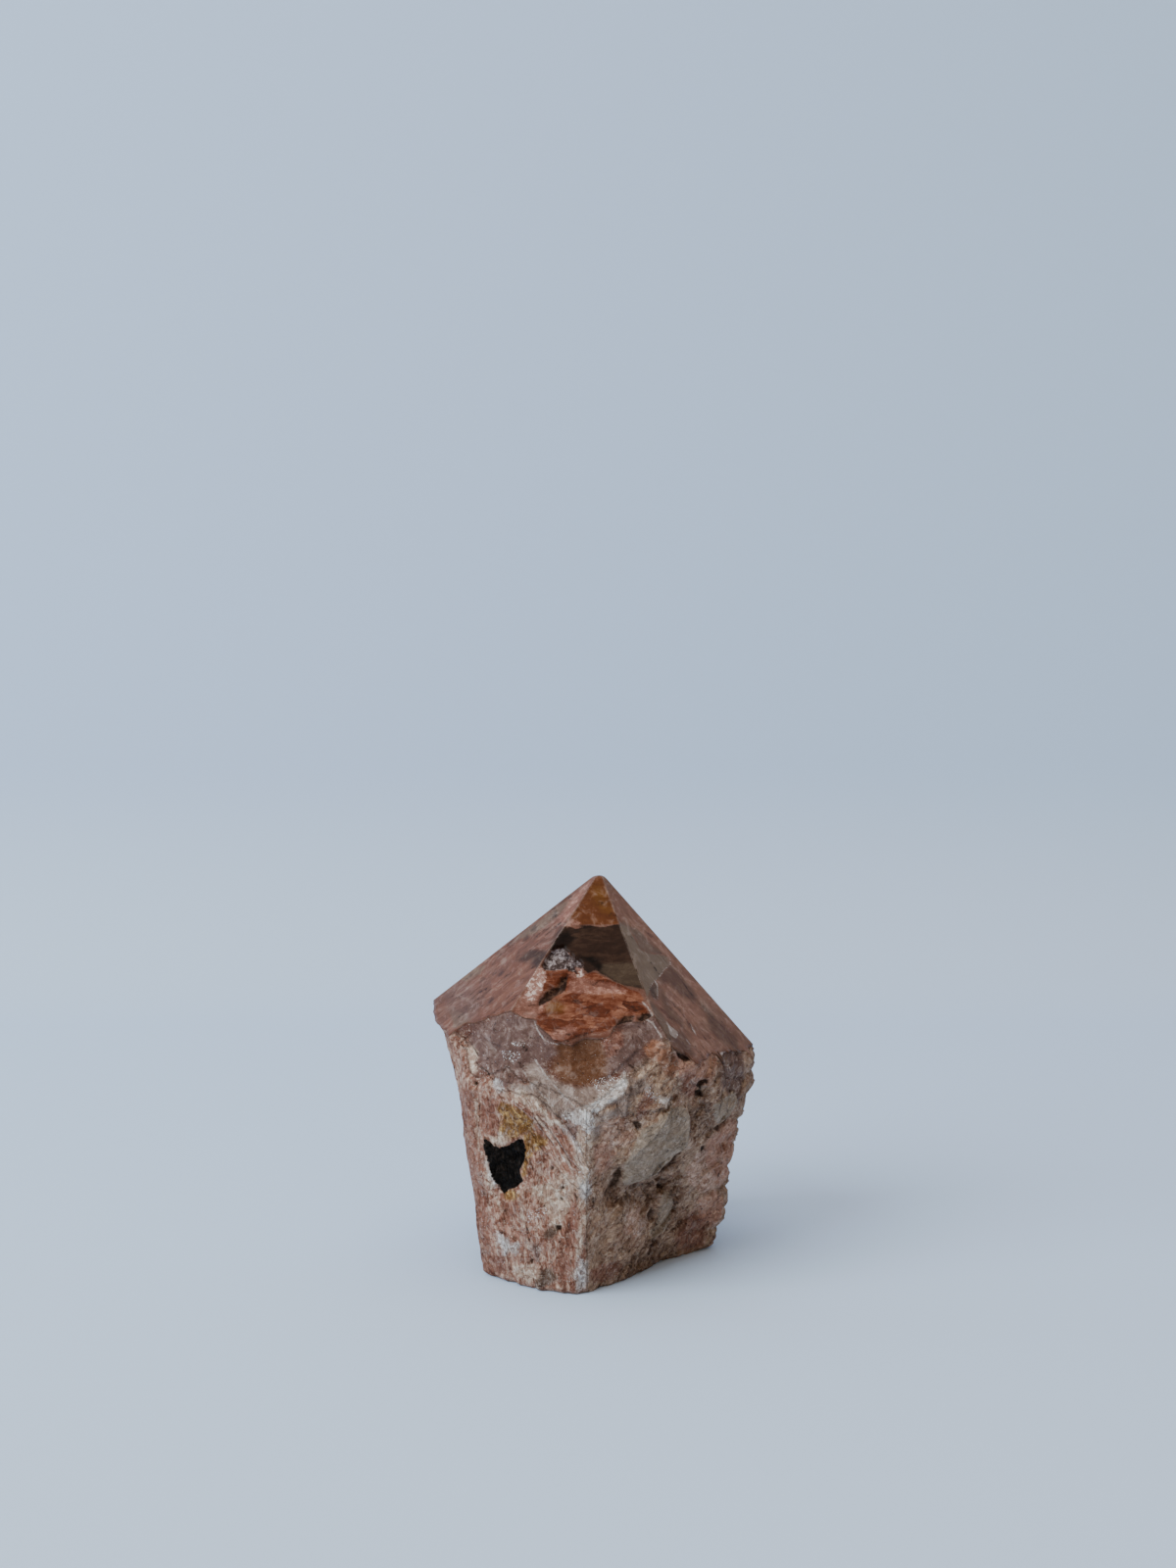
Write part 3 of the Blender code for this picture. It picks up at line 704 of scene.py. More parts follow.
# The minerals in the order that they are laid over the ground. After its look, how ragged a
# mineral's rim is and how soft, in mm, and how much it covers
MINERALS = {
    # Grey glass, partly a painted reflection on the polished faces
    "grey glass": ((80, 65, 52), (104, 84, 70), (138, 117, 100), 0.3, 1.8, 0.2, 2.6, 0.5, 0.8),
    "glass plane": ((91, 76, 61), (116, 98, 82), (140, 122, 105), 0.2, 1.6, 0.2, 0.5, 0.1, 0.92),
    "smoky": ((23, 12, 8), (42, 25, 17), (70, 48, 35), 0.5, 2.4, 0.2, 1.4, 0.2, 0.97),
    "soft smoke": ((33, 22, 16), (51, 36, 28), (78, 59, 48), 0.6, 2.4, 0.3, 3.2, 0.9, 0.8),
    "warm smoke": ((61, 40, 29), (90, 64, 50), (118, 90, 72), 0.5, 2.2, 0.3, 1.8, 0.9, 0.8),
    "dark smoke": ((4, 1, 0), (11, 3, 1), (30, 14, 9), 0.5, 2.4, 0.2, 3.2, 1.0, 0.95),
    "olive": ((52, 39, 29), (71, 55, 43), (98, 82, 65), 0.3, 2.2, 0.3, 2.0, 0.8, 0.8),
    "lilac": ((69, 47, 40), (100, 73, 64), (139, 111, 100), 0.5, 2.4, 0.35, 4.0, 1.4, 0.65),
    "rosy": ((75, 43, 32), (108, 68, 52), (139, 97, 79), 0.6, 2.2, 0.35, 4.0, 1.8, 0.65),
    "red glass": ((92, 60, 46), (137, 97, 79), (180, 140, 121), 0.5, 2.4, 0.3, 3.0, 1.4, 0.75),
    "mauve": ((74, 53, 47), (108, 82, 74), (156, 131, 122), 0.35, 2.4, 0.35, 3.0, 1.0, 0.85),
    "brown quartz": ((68, 38, 22), (104, 67, 45), (136, 98, 73), 0.3, 2.2, 0.25, 3.2, 1.6, 0.9),
    "clear quartz": ((106, 87, 77), (142, 120, 108), (194, 172, 160), 0.4, 2.6, 0.25, 2.8, 0.8, 0.9),
    "rust": ((66, 29, 13), (91, 49, 26), (122, 72, 37), 0.3, 2.4, 0.3, 1.2, 0.25, 1.0),
    "band": ((60, 24, 12), (99, 49, 30), (154, 103, 79), 0.75, 3.0, 0.35, 1.6, 0.2, 1.0),
    "amber": ((74, 41, 14), (99, 59, 24), (124, 83, 40), 0.4, 2.0, 0.3, 3.0, 1.6, 0.85),
    "salmon": ((140, 91, 76), (190, 140, 119), (224, 178, 155), 0.3, 3.0, 0.6, 4.0, 1.0, 0.7),
    "red brown": ((94, 51, 41), (132, 86, 70), (172, 127, 109), 0.55, 3.4, 0.6, 4.0, 0.8, 0.75),
    "orange crystal": ((98, 56, 38), (140, 92, 68), (192, 142, 114), 0.4, 3.0, 0.35, 3.0, 0.6, 0.85),
    "rosy grains": ((140, 97, 77), (199, 157, 134), (240, 208, 188), 0.1, 3.4, 0.6, 3.6, 0.8, 0.8),
    "shaded brown": ((56, 36, 26), (120, 89, 69), (190, 160, 137), 0.4, 4.0, 0.6, 4.6, 1.2, 0.8),
    "feldspar": ((130, 111, 94), (164, 143, 123), (208, 185, 164), 0.6, 2.6, 0.4, 1.6, 0.2, 0.92),
    "pink": ((94, 59, 47), (130, 86, 72), (194, 148, 131), 0.5, 3.2, 0.35, 3.0, 0.6, 0.75),
    "ochre": ((94, 60, 27), (133, 92, 48), (203, 160, 96), 0.3, 3.6, 0.55, 3.2, 0.5, 0.9),
    "cream": ((146, 110, 92), (194, 162, 140), (250, 234, 212), 0.4, 3.6, 0.6, 4.2, 0.7, 0.8),
    "frost": ((140, 122, 112), (208, 196, 188), (254, 252, 250), 0.3, 4.4, 0.4, 4.6, 0.9, 0.8),
    "chip": ((32, 22, 19), (76, 60, 57), (200, 184, 182), 0.2, 2.6, 0.3, 1.0, 0.12, 1.0),
    "white": ((124, 84, 72), (168, 126, 112), (246, 226, 214), 0.1, 4.0, 0.4, 2.6, 0.4, 0.85),
    # Painted shade in the crevices, darker than the stone around them, over their real sunk bed
    "crevice": ((30, 20, 14), (72, 52, 41), (130, 103, 85), 0.5, 3.0, 0.7, 2.4, 0.5, 0.9),
    "black": ((12, 7, 5), (36, 23, 17), (96, 69, 54), 0.3, 3.0, 0.6, 1.8, 0.3, 0.92),
    "pale crack": ((140, 126, 118), (184, 170, 162), (236, 229, 224), 0.1, 3.0, 0.3, 0.5, 0.16, 0.6),
    "dark crack": ((14, 9, 7), (40, 27, 21), (84, 62, 50), 0.1, 3.0, 0.6, 0.6, 0.16, 0.85),
    "dark flecks": ((36, 25, 22), (58, 42, 37), (86, 66, 58), 0.6, 2.0, 0.4, 1.6, 0.4, 0.7),
    "mica": ((5, 3, 2), (14, 10, 7), (50, 40, 34), 0.2, 2.8, 0.3, 1.8, 0.1, 1.0),
}
# The grounds and minerals whose tone changes smoothly, as in glass
GLASSY = (
    "shoulder", "tip", "right face", "grey glass", "glass plane", "smoky", "dark smoke", "warm smoke",
    "olive", "lilac", "rosy", "red glass", "mauve", "brown quartz", "clear quartz", "rust", "amber",
    "orange crystal",
)
# The minerals that no pale veil or seam crosses
CLEAN = ("smoky", "dark smoke", "chip", "crevice", "black", "mica")

# The floor and the wall behind it, in metres, and their colour
STAGE_HALF_WIDTH = 1.6
STAGE_FRONT = -0.9
WALL_PLACE = 0.20
WALL_TOP = 0.5
COVE = 0.05
COVE_STEPS = 12
PALE_FLOOR = (0.61, 0.73, 0.91)
FLOOR_ROUGHNESS = 0.8
FLOOR_SPECULAR = 0.2
# Square lamps: where each stands and looks, its width in metres, its power in watts and its colour
LAMPS = {
    "window": ((-0.95, -0.55, 0.75), (0, 0, 0.03), 0.95, 19.5, (0.78, 0.91, 1.0)),
    "ceiling": ((-0.1, 0.15, 1.5), (0, 0.1, 0), 1.6, 12.5, (0.98, 0.97, 0.94)),
}
SKY_COLOUR = (1.0, 0.82, 0.62)
SKY_STRENGTH = 0.37


def lattice_noise(points, size, seed):
    """Smooth noise from -1 to 1: random values on a cubic lattice, blended between its corners."""
    place = points / size + seed
    cell = np.floor(place).astype(np.int64)
    part = place - cell
    part = part * part * (3 - 2 * part)
    total = np.zeros(len(points))
    for corner in range(8):
        step = np.array([corner & 1, corner >> 1 & 1, corner >> 2 & 1])
        key = (cell + step) @ np.array(LATTICE_KEYS) + seed * LATTICE_SEED_KEY
        for shift, factor in LATTICE_TURNS:
            key = (key ^ (key >> shift)) * factor & WHOLE
        weight = np.prod(np.where(step == 1, part, 1 - part), axis=1)
        total += weight * (key / HALF - 1)
    return total


def cell_random(cell, seed):
    """Three random numbers from 0 to 1 for each whole-number cell."""
    key = cell @ np.array(CELL_KEYS) + seed * CELL_SEED_KEY
    numbers = []
    for turn in range(3):
        for shift, factor, turn_key in CELL_TURNS:
            key = (key ^ (key >> shift)) * factor + turn * turn_key & WHOLE
        numbers.append(key / WHOLE)
    return np.stack(numbers, axis=1)


def crystal_faces(points, size, tilt, seed):
    """Flat tilted pieces: each point takes the tilted plane of the nearest of many random middles."""
    place = points / size
    home = np.floor(place).astype(np.int64)
    nearest = np.full(len(points), 9.0)
    height = np.zeros(len(points))
    for x in (-1, 0, 1):
        for y in (-1, 0, 1):
            for z in (-1, 0, 1):
                cell = home + np.array([x, y, z])
                away = place - cell - cell_random(cell, seed)
                distance = (away**2).sum(axis=1)
                lean = cell_random(cell, seed + 1) * 2 - 1
                plane = (away * lean).sum(axis=1) + FACE_STEP * lean[:, 0]
                closer = distance < nearest
                nearest = np.where(closer, distance, nearest)
                height = np.where(closer, plane, height)
    return height * size * tilt


def turn_between(azimuth, middle):
    """The turn in degrees from a middle azimuth, from -180 to 180."""
    return (azimuth - middle + 180) % 360 - 180


def place(azimuth, radius, height):
    """Points in mm, counted from the foot of the axis: azimuth, distance from the axis, height."""
    turn = np.radians(azimuth)
    return np.stack([radius * np.sin(turn), -radius * np.cos(turn), height], axis=1)


def body_radius(azimuth, height):
    """Distance of the body from the axis: straight chords from ridge to ridge, a little rounded."""
    climb = np.clip(height / HEIGHTS[-1], 0, 1)
    angles = [foot + (head - foot) * climb for foot, head, _ in RIDGES.values()]
    radii = [np.interp(height, HEIGHTS, ridge[2]) for ridge in RIDGES.values()]
    angles.append(angles[0] + 360)
    radii.append(radii[0])
    radius = np.zeros_like(azimuth)
    for offset in RIDGE_ROUNDING:
        turned = (azimuth + offset - angles[0]) % 360 + angles[0]
        for index in range(len(radii) - 1):
            near, far = angles[index], angles[index + 1]
            past = np.radians(turned - near)
            left = np.radians(far - turned)
            span = radii[index] * radii[index + 1] * np.sin(np.radians(far - near))
            chord = span / (radii[index] * np.sin(past) + radii[index + 1] * np.sin(left))
            between = (turned >= near) & (turned < far)
            radius += np.where(between, chord, 0) / len(RIDGE_ROUNDING)
    return radius


def shoulder_radius(azimuth, height):
    """Distance of the nearest shoulder break from the axis, far away where there is none."""
    nearest = np.full_like(azimuth, 99.0)
    for middle, distance, level, drop in SHOULDER_BREAKS:
        facing = np.cos(np.radians(azimuth - middle))
        reach = (distance + (level - height) / drop) / np.maximum(facing, 0.2)
        nearest = np.where(facing > 0.3, np.minimum(nearest, np.maximum(reach, 5)), nearest)
    return nearest


def bump(azimuth, height, radius, shape):
    """A round bump, 1 at its middle and 0 past its edge, on the unrolled side of the stone."""
    middle, level, half_width, half_height = shape[:4]
    across = np.radians(turn_between(azimuth, middle)) * radius / half_width
    along = (height - level) / half_height
    return np.clip(1 - (across**2 + along**2) / 4, 0, 1) ** 2


def ledges(azimuth, height, points):
    """Stacked rounded steps, strongest inside the spans of azimuth that have them."""
    sway, length, seed = LEDGE_WANDER
    wander = sway * lattice_noise(points, length, seed)
    phase = (height + wander + LEDGE_SLANT * azimuth) / LEDGE_PITCH
    step = np.abs(np.sin(np.pi * phase)) ** LEDGE_CURVE - LEDGE_MEAN
    strength = np.zeros_like(azimuth)
    for first, last in LEDGE_SPANS:
        middle = (first + last) / 2
        reach = (last - first) / 2
        turn = np.abs(turn_between(azimuth, middle)) / reach
        strength = np.maximum(strength, np.clip(LEDGE_FADE - turn, 0, 1))
    return LEDGE_DEPTH * strength * step


def rough_relief(azimuth, height, radius, points):
    """How far the broken surface stands out from the plain body, in mm, as in the solid."""
    relief = ledges(azimuth, height, points)
    stretched = points * np.array([1, 1, GROOVE_UPRIGHT])
    relief += GROOVE_DEPTH * (1 - 2 * np.abs(lattice_noise(stretched, GROOVE_WIDTH, GROOVE_SEED)))
    for size, depth, seed in WAVES:
        relief += depth * lattice_noise(points, size, seed)
    for shape in LUMPS.values():
        relief += shape[4] * bump(azimuth, height, radius, shape)
    for shape in HOLLOWS.values():
        relief -= shape[4] * bump(azimuth, height, radius, shape)
    return relief


def side_shares(azimuth):
    """How much a place belongs to the left side, the right side and the far sides, adding up to 1."""
    front = np.clip(turn_between(azimuth, FRONT_RIDGE) / RIDGE_FADE + 0.5, 0, 1)
    seen = np.clip((SEEN_REACH - np.abs(turn_between(azimuth, SEEN_MIDDLE))) / SEEN_FADE, 0, 1)
    return {"left side": seen * (1 - front), "right side": seen * front, "far sides": 1 - seen}


def pressed_along(points, flow, stretch):
    """Points pressed together along a direction, so that noise there is drawn out along it."""
    flow = np.array(flow) / np.linalg.norm(flow)
    return points - (1 - 1 / stretch) * (points @ flow)[:, None] * flow


def side_flow(side):
    """The direction of a side's grain: across to the right and up, as laid out at its azimuth."""
    azimuth, across, up = GRAIN[side]
    turn = math.radians(azimuth)
    return (across * math.cos(turn), across * math.sin(turn), up)


def face_flow(name):
    """The direction of the grain on a face of the tip: across it and down its slope."""
    across, down = TIP_GRAIN[name]
    turn = math.radians(TIP_FACES[name]["azimuth"])
    drop = TIP_FACES[name]["drop_per_mm"]
    slope = np.array([math.sin(turn), -math.cos(turn), -drop]) / math.hypot(1, drop)
    return across * np.array([math.cos(turn), math.sin(turn), 0]) + down * slope


def fine_relief(azimuth, points):
    """Relief too fine for the solid: grooves along the grain of each side, and flat broken faces."""
    relief = np.zeros(len(points))
    for side, share in side_shares(azimuth).items():
        shape = FINE_RELIEF[side]
        drawn = pressed_along(points, side_flow(side), shape["stretch"])
        for seed, (size, depth) in enumerate(shape["grooves"]):
            noise = lattice_noise(drawn, size, GROOVE_SEEDS + seed)
            relief += share * depth * (1 - 2 * np.abs(noise))
        for seed, (size, tilt) in enumerate(shape["faces"]):
            relief += share * crystal_faces(drawn, size, tilt, FACE_SEEDS + 2 * seed)
    return relief


def glassy_share(body, shoulder):
    """1 where the glassy shoulder is cut a mm or more into the body, 0 where it isn't cut at all."""
    return np.clip(body - shoulder, 0, 1)


def rough_surface(azimuth, height):
    """Distance of the rough surface from the axis: plain body, relief of the solid and finer relief."""
    body = body_radius(azimuth, height)
    shoulder = shoulder_radius(azimuth, height)
    radius = np.minimum(body, shoulder)
    glassy = glassy_share(body, shoulder)
    points = place(azimuth, radius, height)
    radius = radius + rough_relief(azimuth, height, radius, points)
    radius = radius + (1 - SHOULDER_CALM * glassy) * fine_relief(azimuth, points)
    radius = radius + glassy * crystal_faces(points, *GLASS_BREAKS)
    inward, upward = FOOT_RIM
    return radius - inward * np.clip(1 - height / upward, 0, 1) ** 2


def tip_drop(azimuth):
    """How much the tip falls for each mm from the axis: the steepest of the faces there."""
    drops = [
        face["drop_per_mm"] * np.cos(np.radians(azimuth - face["azimuth"]))
        for face in TIP_FACES.values()
    ]
    return np.max(drops, axis=0)


def edge_azimuths():
    """Azimuths of the edges between neighbouring tip faces, where both faces drop alike."""
    faces = list(TIP_FACES.values())
    edges = []
    for face, other in zip(faces, faces[1:] + faces[:1]):
        first, second = math.radians(face["azimuth"]), math.radians(other["azimuth"])
        ahead = other["drop_per_mm"] * math.cos(second) - face["drop_per_mm"] * math.cos(first)
        aside = face["drop_per_mm"] * math.sin(first) - other["drop_per_mm"] * math.sin(second)
        edge = math.degrees(math.atan2(ahead, aside))
        if math.cos(math.radians(edge) - first) < 0:
            edge += 180
        edges.append(edge % 360)
    return sorted(edges)


def column_azimuths():
    """Azimuths of the grid's columns: even steps between the edges of the tip, finer in front."""
    edges = edge_azimuths()
    columns = []
    for start, end in zip(edges, edges[1:] + [edges[0] + 360]):
        middle = math.cos(math.radians((start + end) / 2))
        share = COLUMNS_FRONT if middle > -0.1 else COLUMNS_BACK
        count = round((end - start) * share)
        columns.extend(np.linspace(start, end, count, endpoint=False))
    return np.array(columns)


def girdle_radius(azimuth):
    """Where the tip's faces meet the rough surface, found by halving a span over and over."""
    near, far = [np.full_like(azimuth, end) for end in GIRDLE_SPAN]
    drop = tip_drop(azimuth)
    for _ in range(GIRDLE_HALVINGS):
        middle = (near + far) / 2
        inside = rough_surface(azimuth, POINT_HEIGHT - drop * middle) > middle
        near = np.where(inside, middle, near)
        far = np.where(inside, far, middle)
    return (near + far) / 2


def surface_grid():
    """The stone's surface as rows of points from the top to the foot, all with the same columns.

    Down the tip each row is a share of the way to the girdle, at the height of the faces; down the
    body each row is a share of the girdle's height, at the distance of the rough surface; under
    the foot the rows shrink to the middle."""
    azimuth = column_azimuths()
    girdle = girdle_radius(azimuth)
    drop = tip_drop(azimuth)
    rows = []
    for share in np.linspace(0, 1, TIP_ROWS + 1)[1:]:
        radius = girdle * (TIP_EVENNESS * share + (1 - TIP_EVENNESS) * share**2)
        plain = POINT_HEIGHT - drop * radius
        level = -np.logaddexp(-BLUNTNESS * plain, -BLUNTNESS * TOP_HEIGHT) / BLUNTNESS
        rows.append(place(azimuth, radius, level))
    rim = POINT_HEIGHT - drop * girdle
    for share in np.linspace(0, 1, BODY_ROWS + 1)[1:]:
        height = rim * (1 - share)
        rows.append(place(azimuth, rough_surface(azimuth, height), height))
    foot = rows[-1]
    for share in np.linspace(1, 0, FOOT_RINGS + 1)[1:-1]:
        rows.append(foot * share)
    return azimuth, np.array(rows)


def in_picture(points):
    """Where the camera sees points: pixels across and down in the photograph."""
    tilt = math.radians(CAMERA_TILT)
    away = points - np.array(EYE)
    depth = away @ np.array([0, math.cos(tilt), -math.sin(tilt)])
    rise = away @ np.array([0, math.sin(tilt), math.cos(tilt)])
    across = IMAGE_WIDTH / 2 + FOCAL_PIXELS * away[:, 0] / depth
    down = IMAGE_HEIGHT / 2 - FOCAL_PIXELS * rise / depth
    return across, down


def path_distance(across, down, path):
    """Distance in pixels to a path: the least distance to any of its straight stretches."""
    nearest = np.full(across.shape, 1e9)
    for (x0, y0), (x1, y1) in zip(path, path[1:]):
        dx, dy = x1 - x0, y1 - y0
        share = np.clip(((across - x0) * dx + (down - y0) * dy) / (dx * dx + dy * dy), 0, 1)
        apart = np.hypot(across - x0 - share * dx, down - y0 - share * dy)
        nearest = np.minimum(nearest, apart)
    return nearest


def outline_distance(across, down, outline):
    """Distance in pixels to a closed outline, positive inside: a line drawn to the left from an
    inside point crosses the outline an odd number of times."""
    closed = outline + outline[:1]
    inside = np.zeros(across.shape, bool)
    for (x0, y0), (x1, y1) in zip(closed, closed[1:]):
        if y0 == y1:
            continue
        crossing = x0 + (x1 - x0) * (down - y0) / (y1 - y0)
        inside ^= ((y0 > down) != (y1 > down)) & (across > crossing)
    apart = path_distance(across, down, closed)
    return np.where(inside, apart, -apart)


def outward(azimuth, on_tip):
    """The way out of the stone: level on the sides, square to the nearest face on the tip."""
    names = list(TIP_FACES)
    drops = [TIP_FACES[name]["drop_per_mm"] for name in names]
    middles = [TIP_FACES[name]["azimuth"] for name in names]
    falls = [drop * np.cos(np.radians(azimuth - middle)) for drop, middle in zip(drops, middles)]
    face = np.argmax(falls, axis=0)
    middle = np.array(middles, float)[face]
    drop = np.array(drops)[face]
    square = place(middle, drop, np.ones_like(azimuth))
    level = place(azimuth, 1.0, np.zeros_like(azimuth))
    out = np.where(on_tip[:, None], square, level)
    return face, out / np.linalg.norm(out, axis=1, keepdims=True)


def far_patches(points, size, level, seed):
    """Distance in mm into the patches of the far sides: how far two octaves of noise, drawn out
    along the grain, are over a level."""
    drawn = pressed_along(points, side_flow("far sides"), FAR_STRETCH)
    fray = FAR_FRAY * lattice_noise(drawn, size / FAR_FRAY_SIZE, seed)
    rise = lattice_noise(drawn, size, seed) + fray
    return (rise - level) * size / 2


def mineral_places(points, face, on_tip, out):
    """For each mineral, the distance in mm into its nearest patch, negative outside: the drawn
    outlines on the sides that the camera sees, and patches of noise on the far sides. The second
    set has the thin veins as well, which are only colour."""
    across, down = in_picture(points)
    away = np.array(EYE) - points
    facing = (out * away).sum(axis=1) / np.linalg.norm(away, axis=1)
    seen = np.clip((facing - EDGE_ON) / EDGE_FADE, 0, 1)
    pixels_per_mm = FOCAL_PIXELS / np.linalg.norm(away, axis=1)
    names = list(TIP_FACES)
    zones = (
        (LEFT_FACE, on_tip & (face == names.index("left"))),
        (FRONT_FACE, on_tip & (face == names.index("front"))),
        (RIGHT_FACE, on_tip & (face == names.index("right"))),
        (ROUGH_SIDES, ~on_tip),
    )
    solid = {name: np.full(len(points), FAR) for name in MINERALS}
    for outlines, inside in zones:
        for name, patches in outlines.items():
            for outline in patches:
                depth = outline_distance(across[inside], down[inside], outline)
                depth = depth / pixels_per_mm[inside]
                solid[name][inside] = np.maximum(solid[name][inside], depth)
    for name in MINERALS:
        solid[name] = np.maximum(solid[name] - OUTLINE_FADE * (1 - seen), FAR)
    for patches, here in ((FAR_SIDES, ~on_tip), (FAR_TIP, on_tip)):
        for name, shape in patches.items():
            depth = np.where(here, far_patches(points, *shape) - PATCH_FADE * seen, FAR)
            solid[name] = np.maximum(solid[name], depth)
    veined = {name: depth.copy() for name, depth in solid.items()}
    for name, veins in VEINS.items():
        for half_width, path in veins:
            depth = (half_width - path_distance(across, down, path)) / pixels_per_mm
            veined[name] = np.maximum(veined[name], depth - OUTLINE_FADE * (1 - seen))
    return solid, veined


def sink(points, out, depths):
    """Points moved in where a mineral lies under the surface around it, with a rough bed."""
    moved = points.copy()
    for name, (depth, rough, slope) in SUNK.items():
        inside = np.clip(depths[name] / slope + 0.5, 0, 1)
        share = inside * inside * (3 - 2 * inside)
        bed = rough * crystal_faces(points, *BED_FACES) - depth
        moved += (share * bed)[:, None] * out
    return moved


def drawn_places(points, azimuth, face, on_tip, glassy, across, down):
    """Places for the streaks, pressed along the grain of the face or side that a point is on, after
    noise has moved them about a little, so that the grain wanders."""
    bent = points.copy()
    for size, reach, seed in GRAIN_BENDS:
        bends = [lattice_noise(points, size, seed + axis) for axis in range(3)]
        bent += reach * np.stack(bends, axis=1)
    drawn = bent.copy()
    for index, name in enumerate(TIP_FACES):
        here = on_tip & (face == index)
        drawn[here] = pressed_along(bent[here], face_flow(name), TIP_STRETCH)
    shares = side_shares(azimuth)
    sides = {name: share > 0.5 for name, share in shares.items()}
    fibres = outline_distance(across, down, FRONT_FIBRES) > 0
    sides["front fibres"] = fibres & (shares["far sides"] < 0.5)
    sides["shoulder"] = glassy > 0.5
    for name, here in sides.items():
        here = here & ~on_tip
        drawn[here] = pressed_along(bent[here], side_flow(name), GRAIN_STRETCH[name])
    return drawn


def grid_faces(count, columns):
    """Faces of a closed grid: quads between the rows, and a fan to the top and to the foot."""
    index = np.arange(count * columns).reshape(count, columns)
    beside = np.roll(index, -1, axis=1)
    quads = np.stack([index[:-1], index[1:], beside[1:], beside[:-1]], axis=-1).reshape(-1, 4)
    crown = np.stack([index[0], beside[0], np.full(columns, count * columns)], axis=-1)
    floor = np.stack([beside[-1], index[-1], np.full(columns, count * columns + 1)], axis=-1)
    return quads.tolist() + crown.tolist() + floor.tolist()


def add_number(mesh, name, numbers):
    """A number at each point of a mesh, which its material reads by name."""
    layer = mesh.attributes.new(name, "FLOAT", "POINT")
    layer.data.foreach_set("value", np.asarray(numbers, np.float32))


def add_vector(mesh, name, vectors):
    """A vector at each point of a mesh, which its material reads by name."""
    layer = mesh.attributes.new(name, "FLOAT_VECTOR", "POINT")
    layer.data.foreach_set("vector", np.asarray(vectors, np.float32).ravel())


def build_stone():
    """The moonstone's visible surface in the part's frame, with the places of its minerals."""
    columns, rows = surface_grid()
    count = rows.shape[0]
    top = np.array([[0, 0, TOP_HEIGHT]])
    bottom = np.array([[0, 0, 0]])
    points = np.concatenate([rows.reshape(-1, 3), top, bottom])
    azimuth = np.concatenate([np.tile(columns, count), [0, 0]])
    row = np.concatenate([np.repeat(np.arange(count), len(columns)), [0, count]])
    on_tip = row < TIP_ROWS
    under = row >= TIP_ROWS + BODY_ROWS - 1
    face, out = outward(azimuth, on_tip)
    height = points[:, 2]
    glassy = glassy_share(body_radius(azimuth, height), shoulder_radius(azimuth, height)) * ~on_tip
    solid, veined = mineral_places(points, face, on_tip, out)
    across, down = in_picture(points)
    drawn = drawn_places(points, azimuth, face, on_tip, glassy, across, down)
    moved = np.where(under[:, None], points, sink(points, out, solid))
    edges = [np.abs(turn_between(azimuth, edge)) for edge in edge_azimuths()]
    edge = np.radians(np.min(edges, axis=0)) * np.hypot(points[:, 0], points[:, 1])

    mesh = bpy.data.meshes.new("moonstone_surface")
    mesh.from_pydata((moved + np.array(AXIS)) * MM, [], grid_faces(count, len(columns)))
    mesh.shade_smooth()
    names = list(TIP_FACES)
    add_number(mesh, "polish", on_tip)
    add_number(mesh, "glassy", glassy)
    add_number(mesh, "right face", on_tip & (face == names.index("right")))
    add_number(mesh, "right side", side_shares(azimuth)["right side"] * ~on_tip)
    add_number(mesh, "facet edge", np.where(on_tip, edge, INSIDE))
    add_vector(mesh, "drawn place", drawn)
    for name, depth in veined.items():
        add_number(mesh, name, depth)
    # Where the painted glints gather in clusters
    clusters = [outline_distance(across, down, outline) for outline in SPARKLES]
    near_side = side_shares(azimuth)["far sides"] < 0.5
    add_number(mesh, "sparkle", np.where(near_side, np.max(clusters, axis=0), FAR))
    stone = bpy.data.objects.new("moonstone_surface", mesh)
    bpy.context.scene.collection.objects.link(stone)
    return stone


def linear(colour):
    """A colour given as red, green and blue from 0 to 255, turned into Blender's linear values."""
    parts = [part / 255 for part in colour]
    return [part / 12.92 if part <= 0.04045 else ((part + 0.055) / 1.055) ** 2.4 for part in parts]


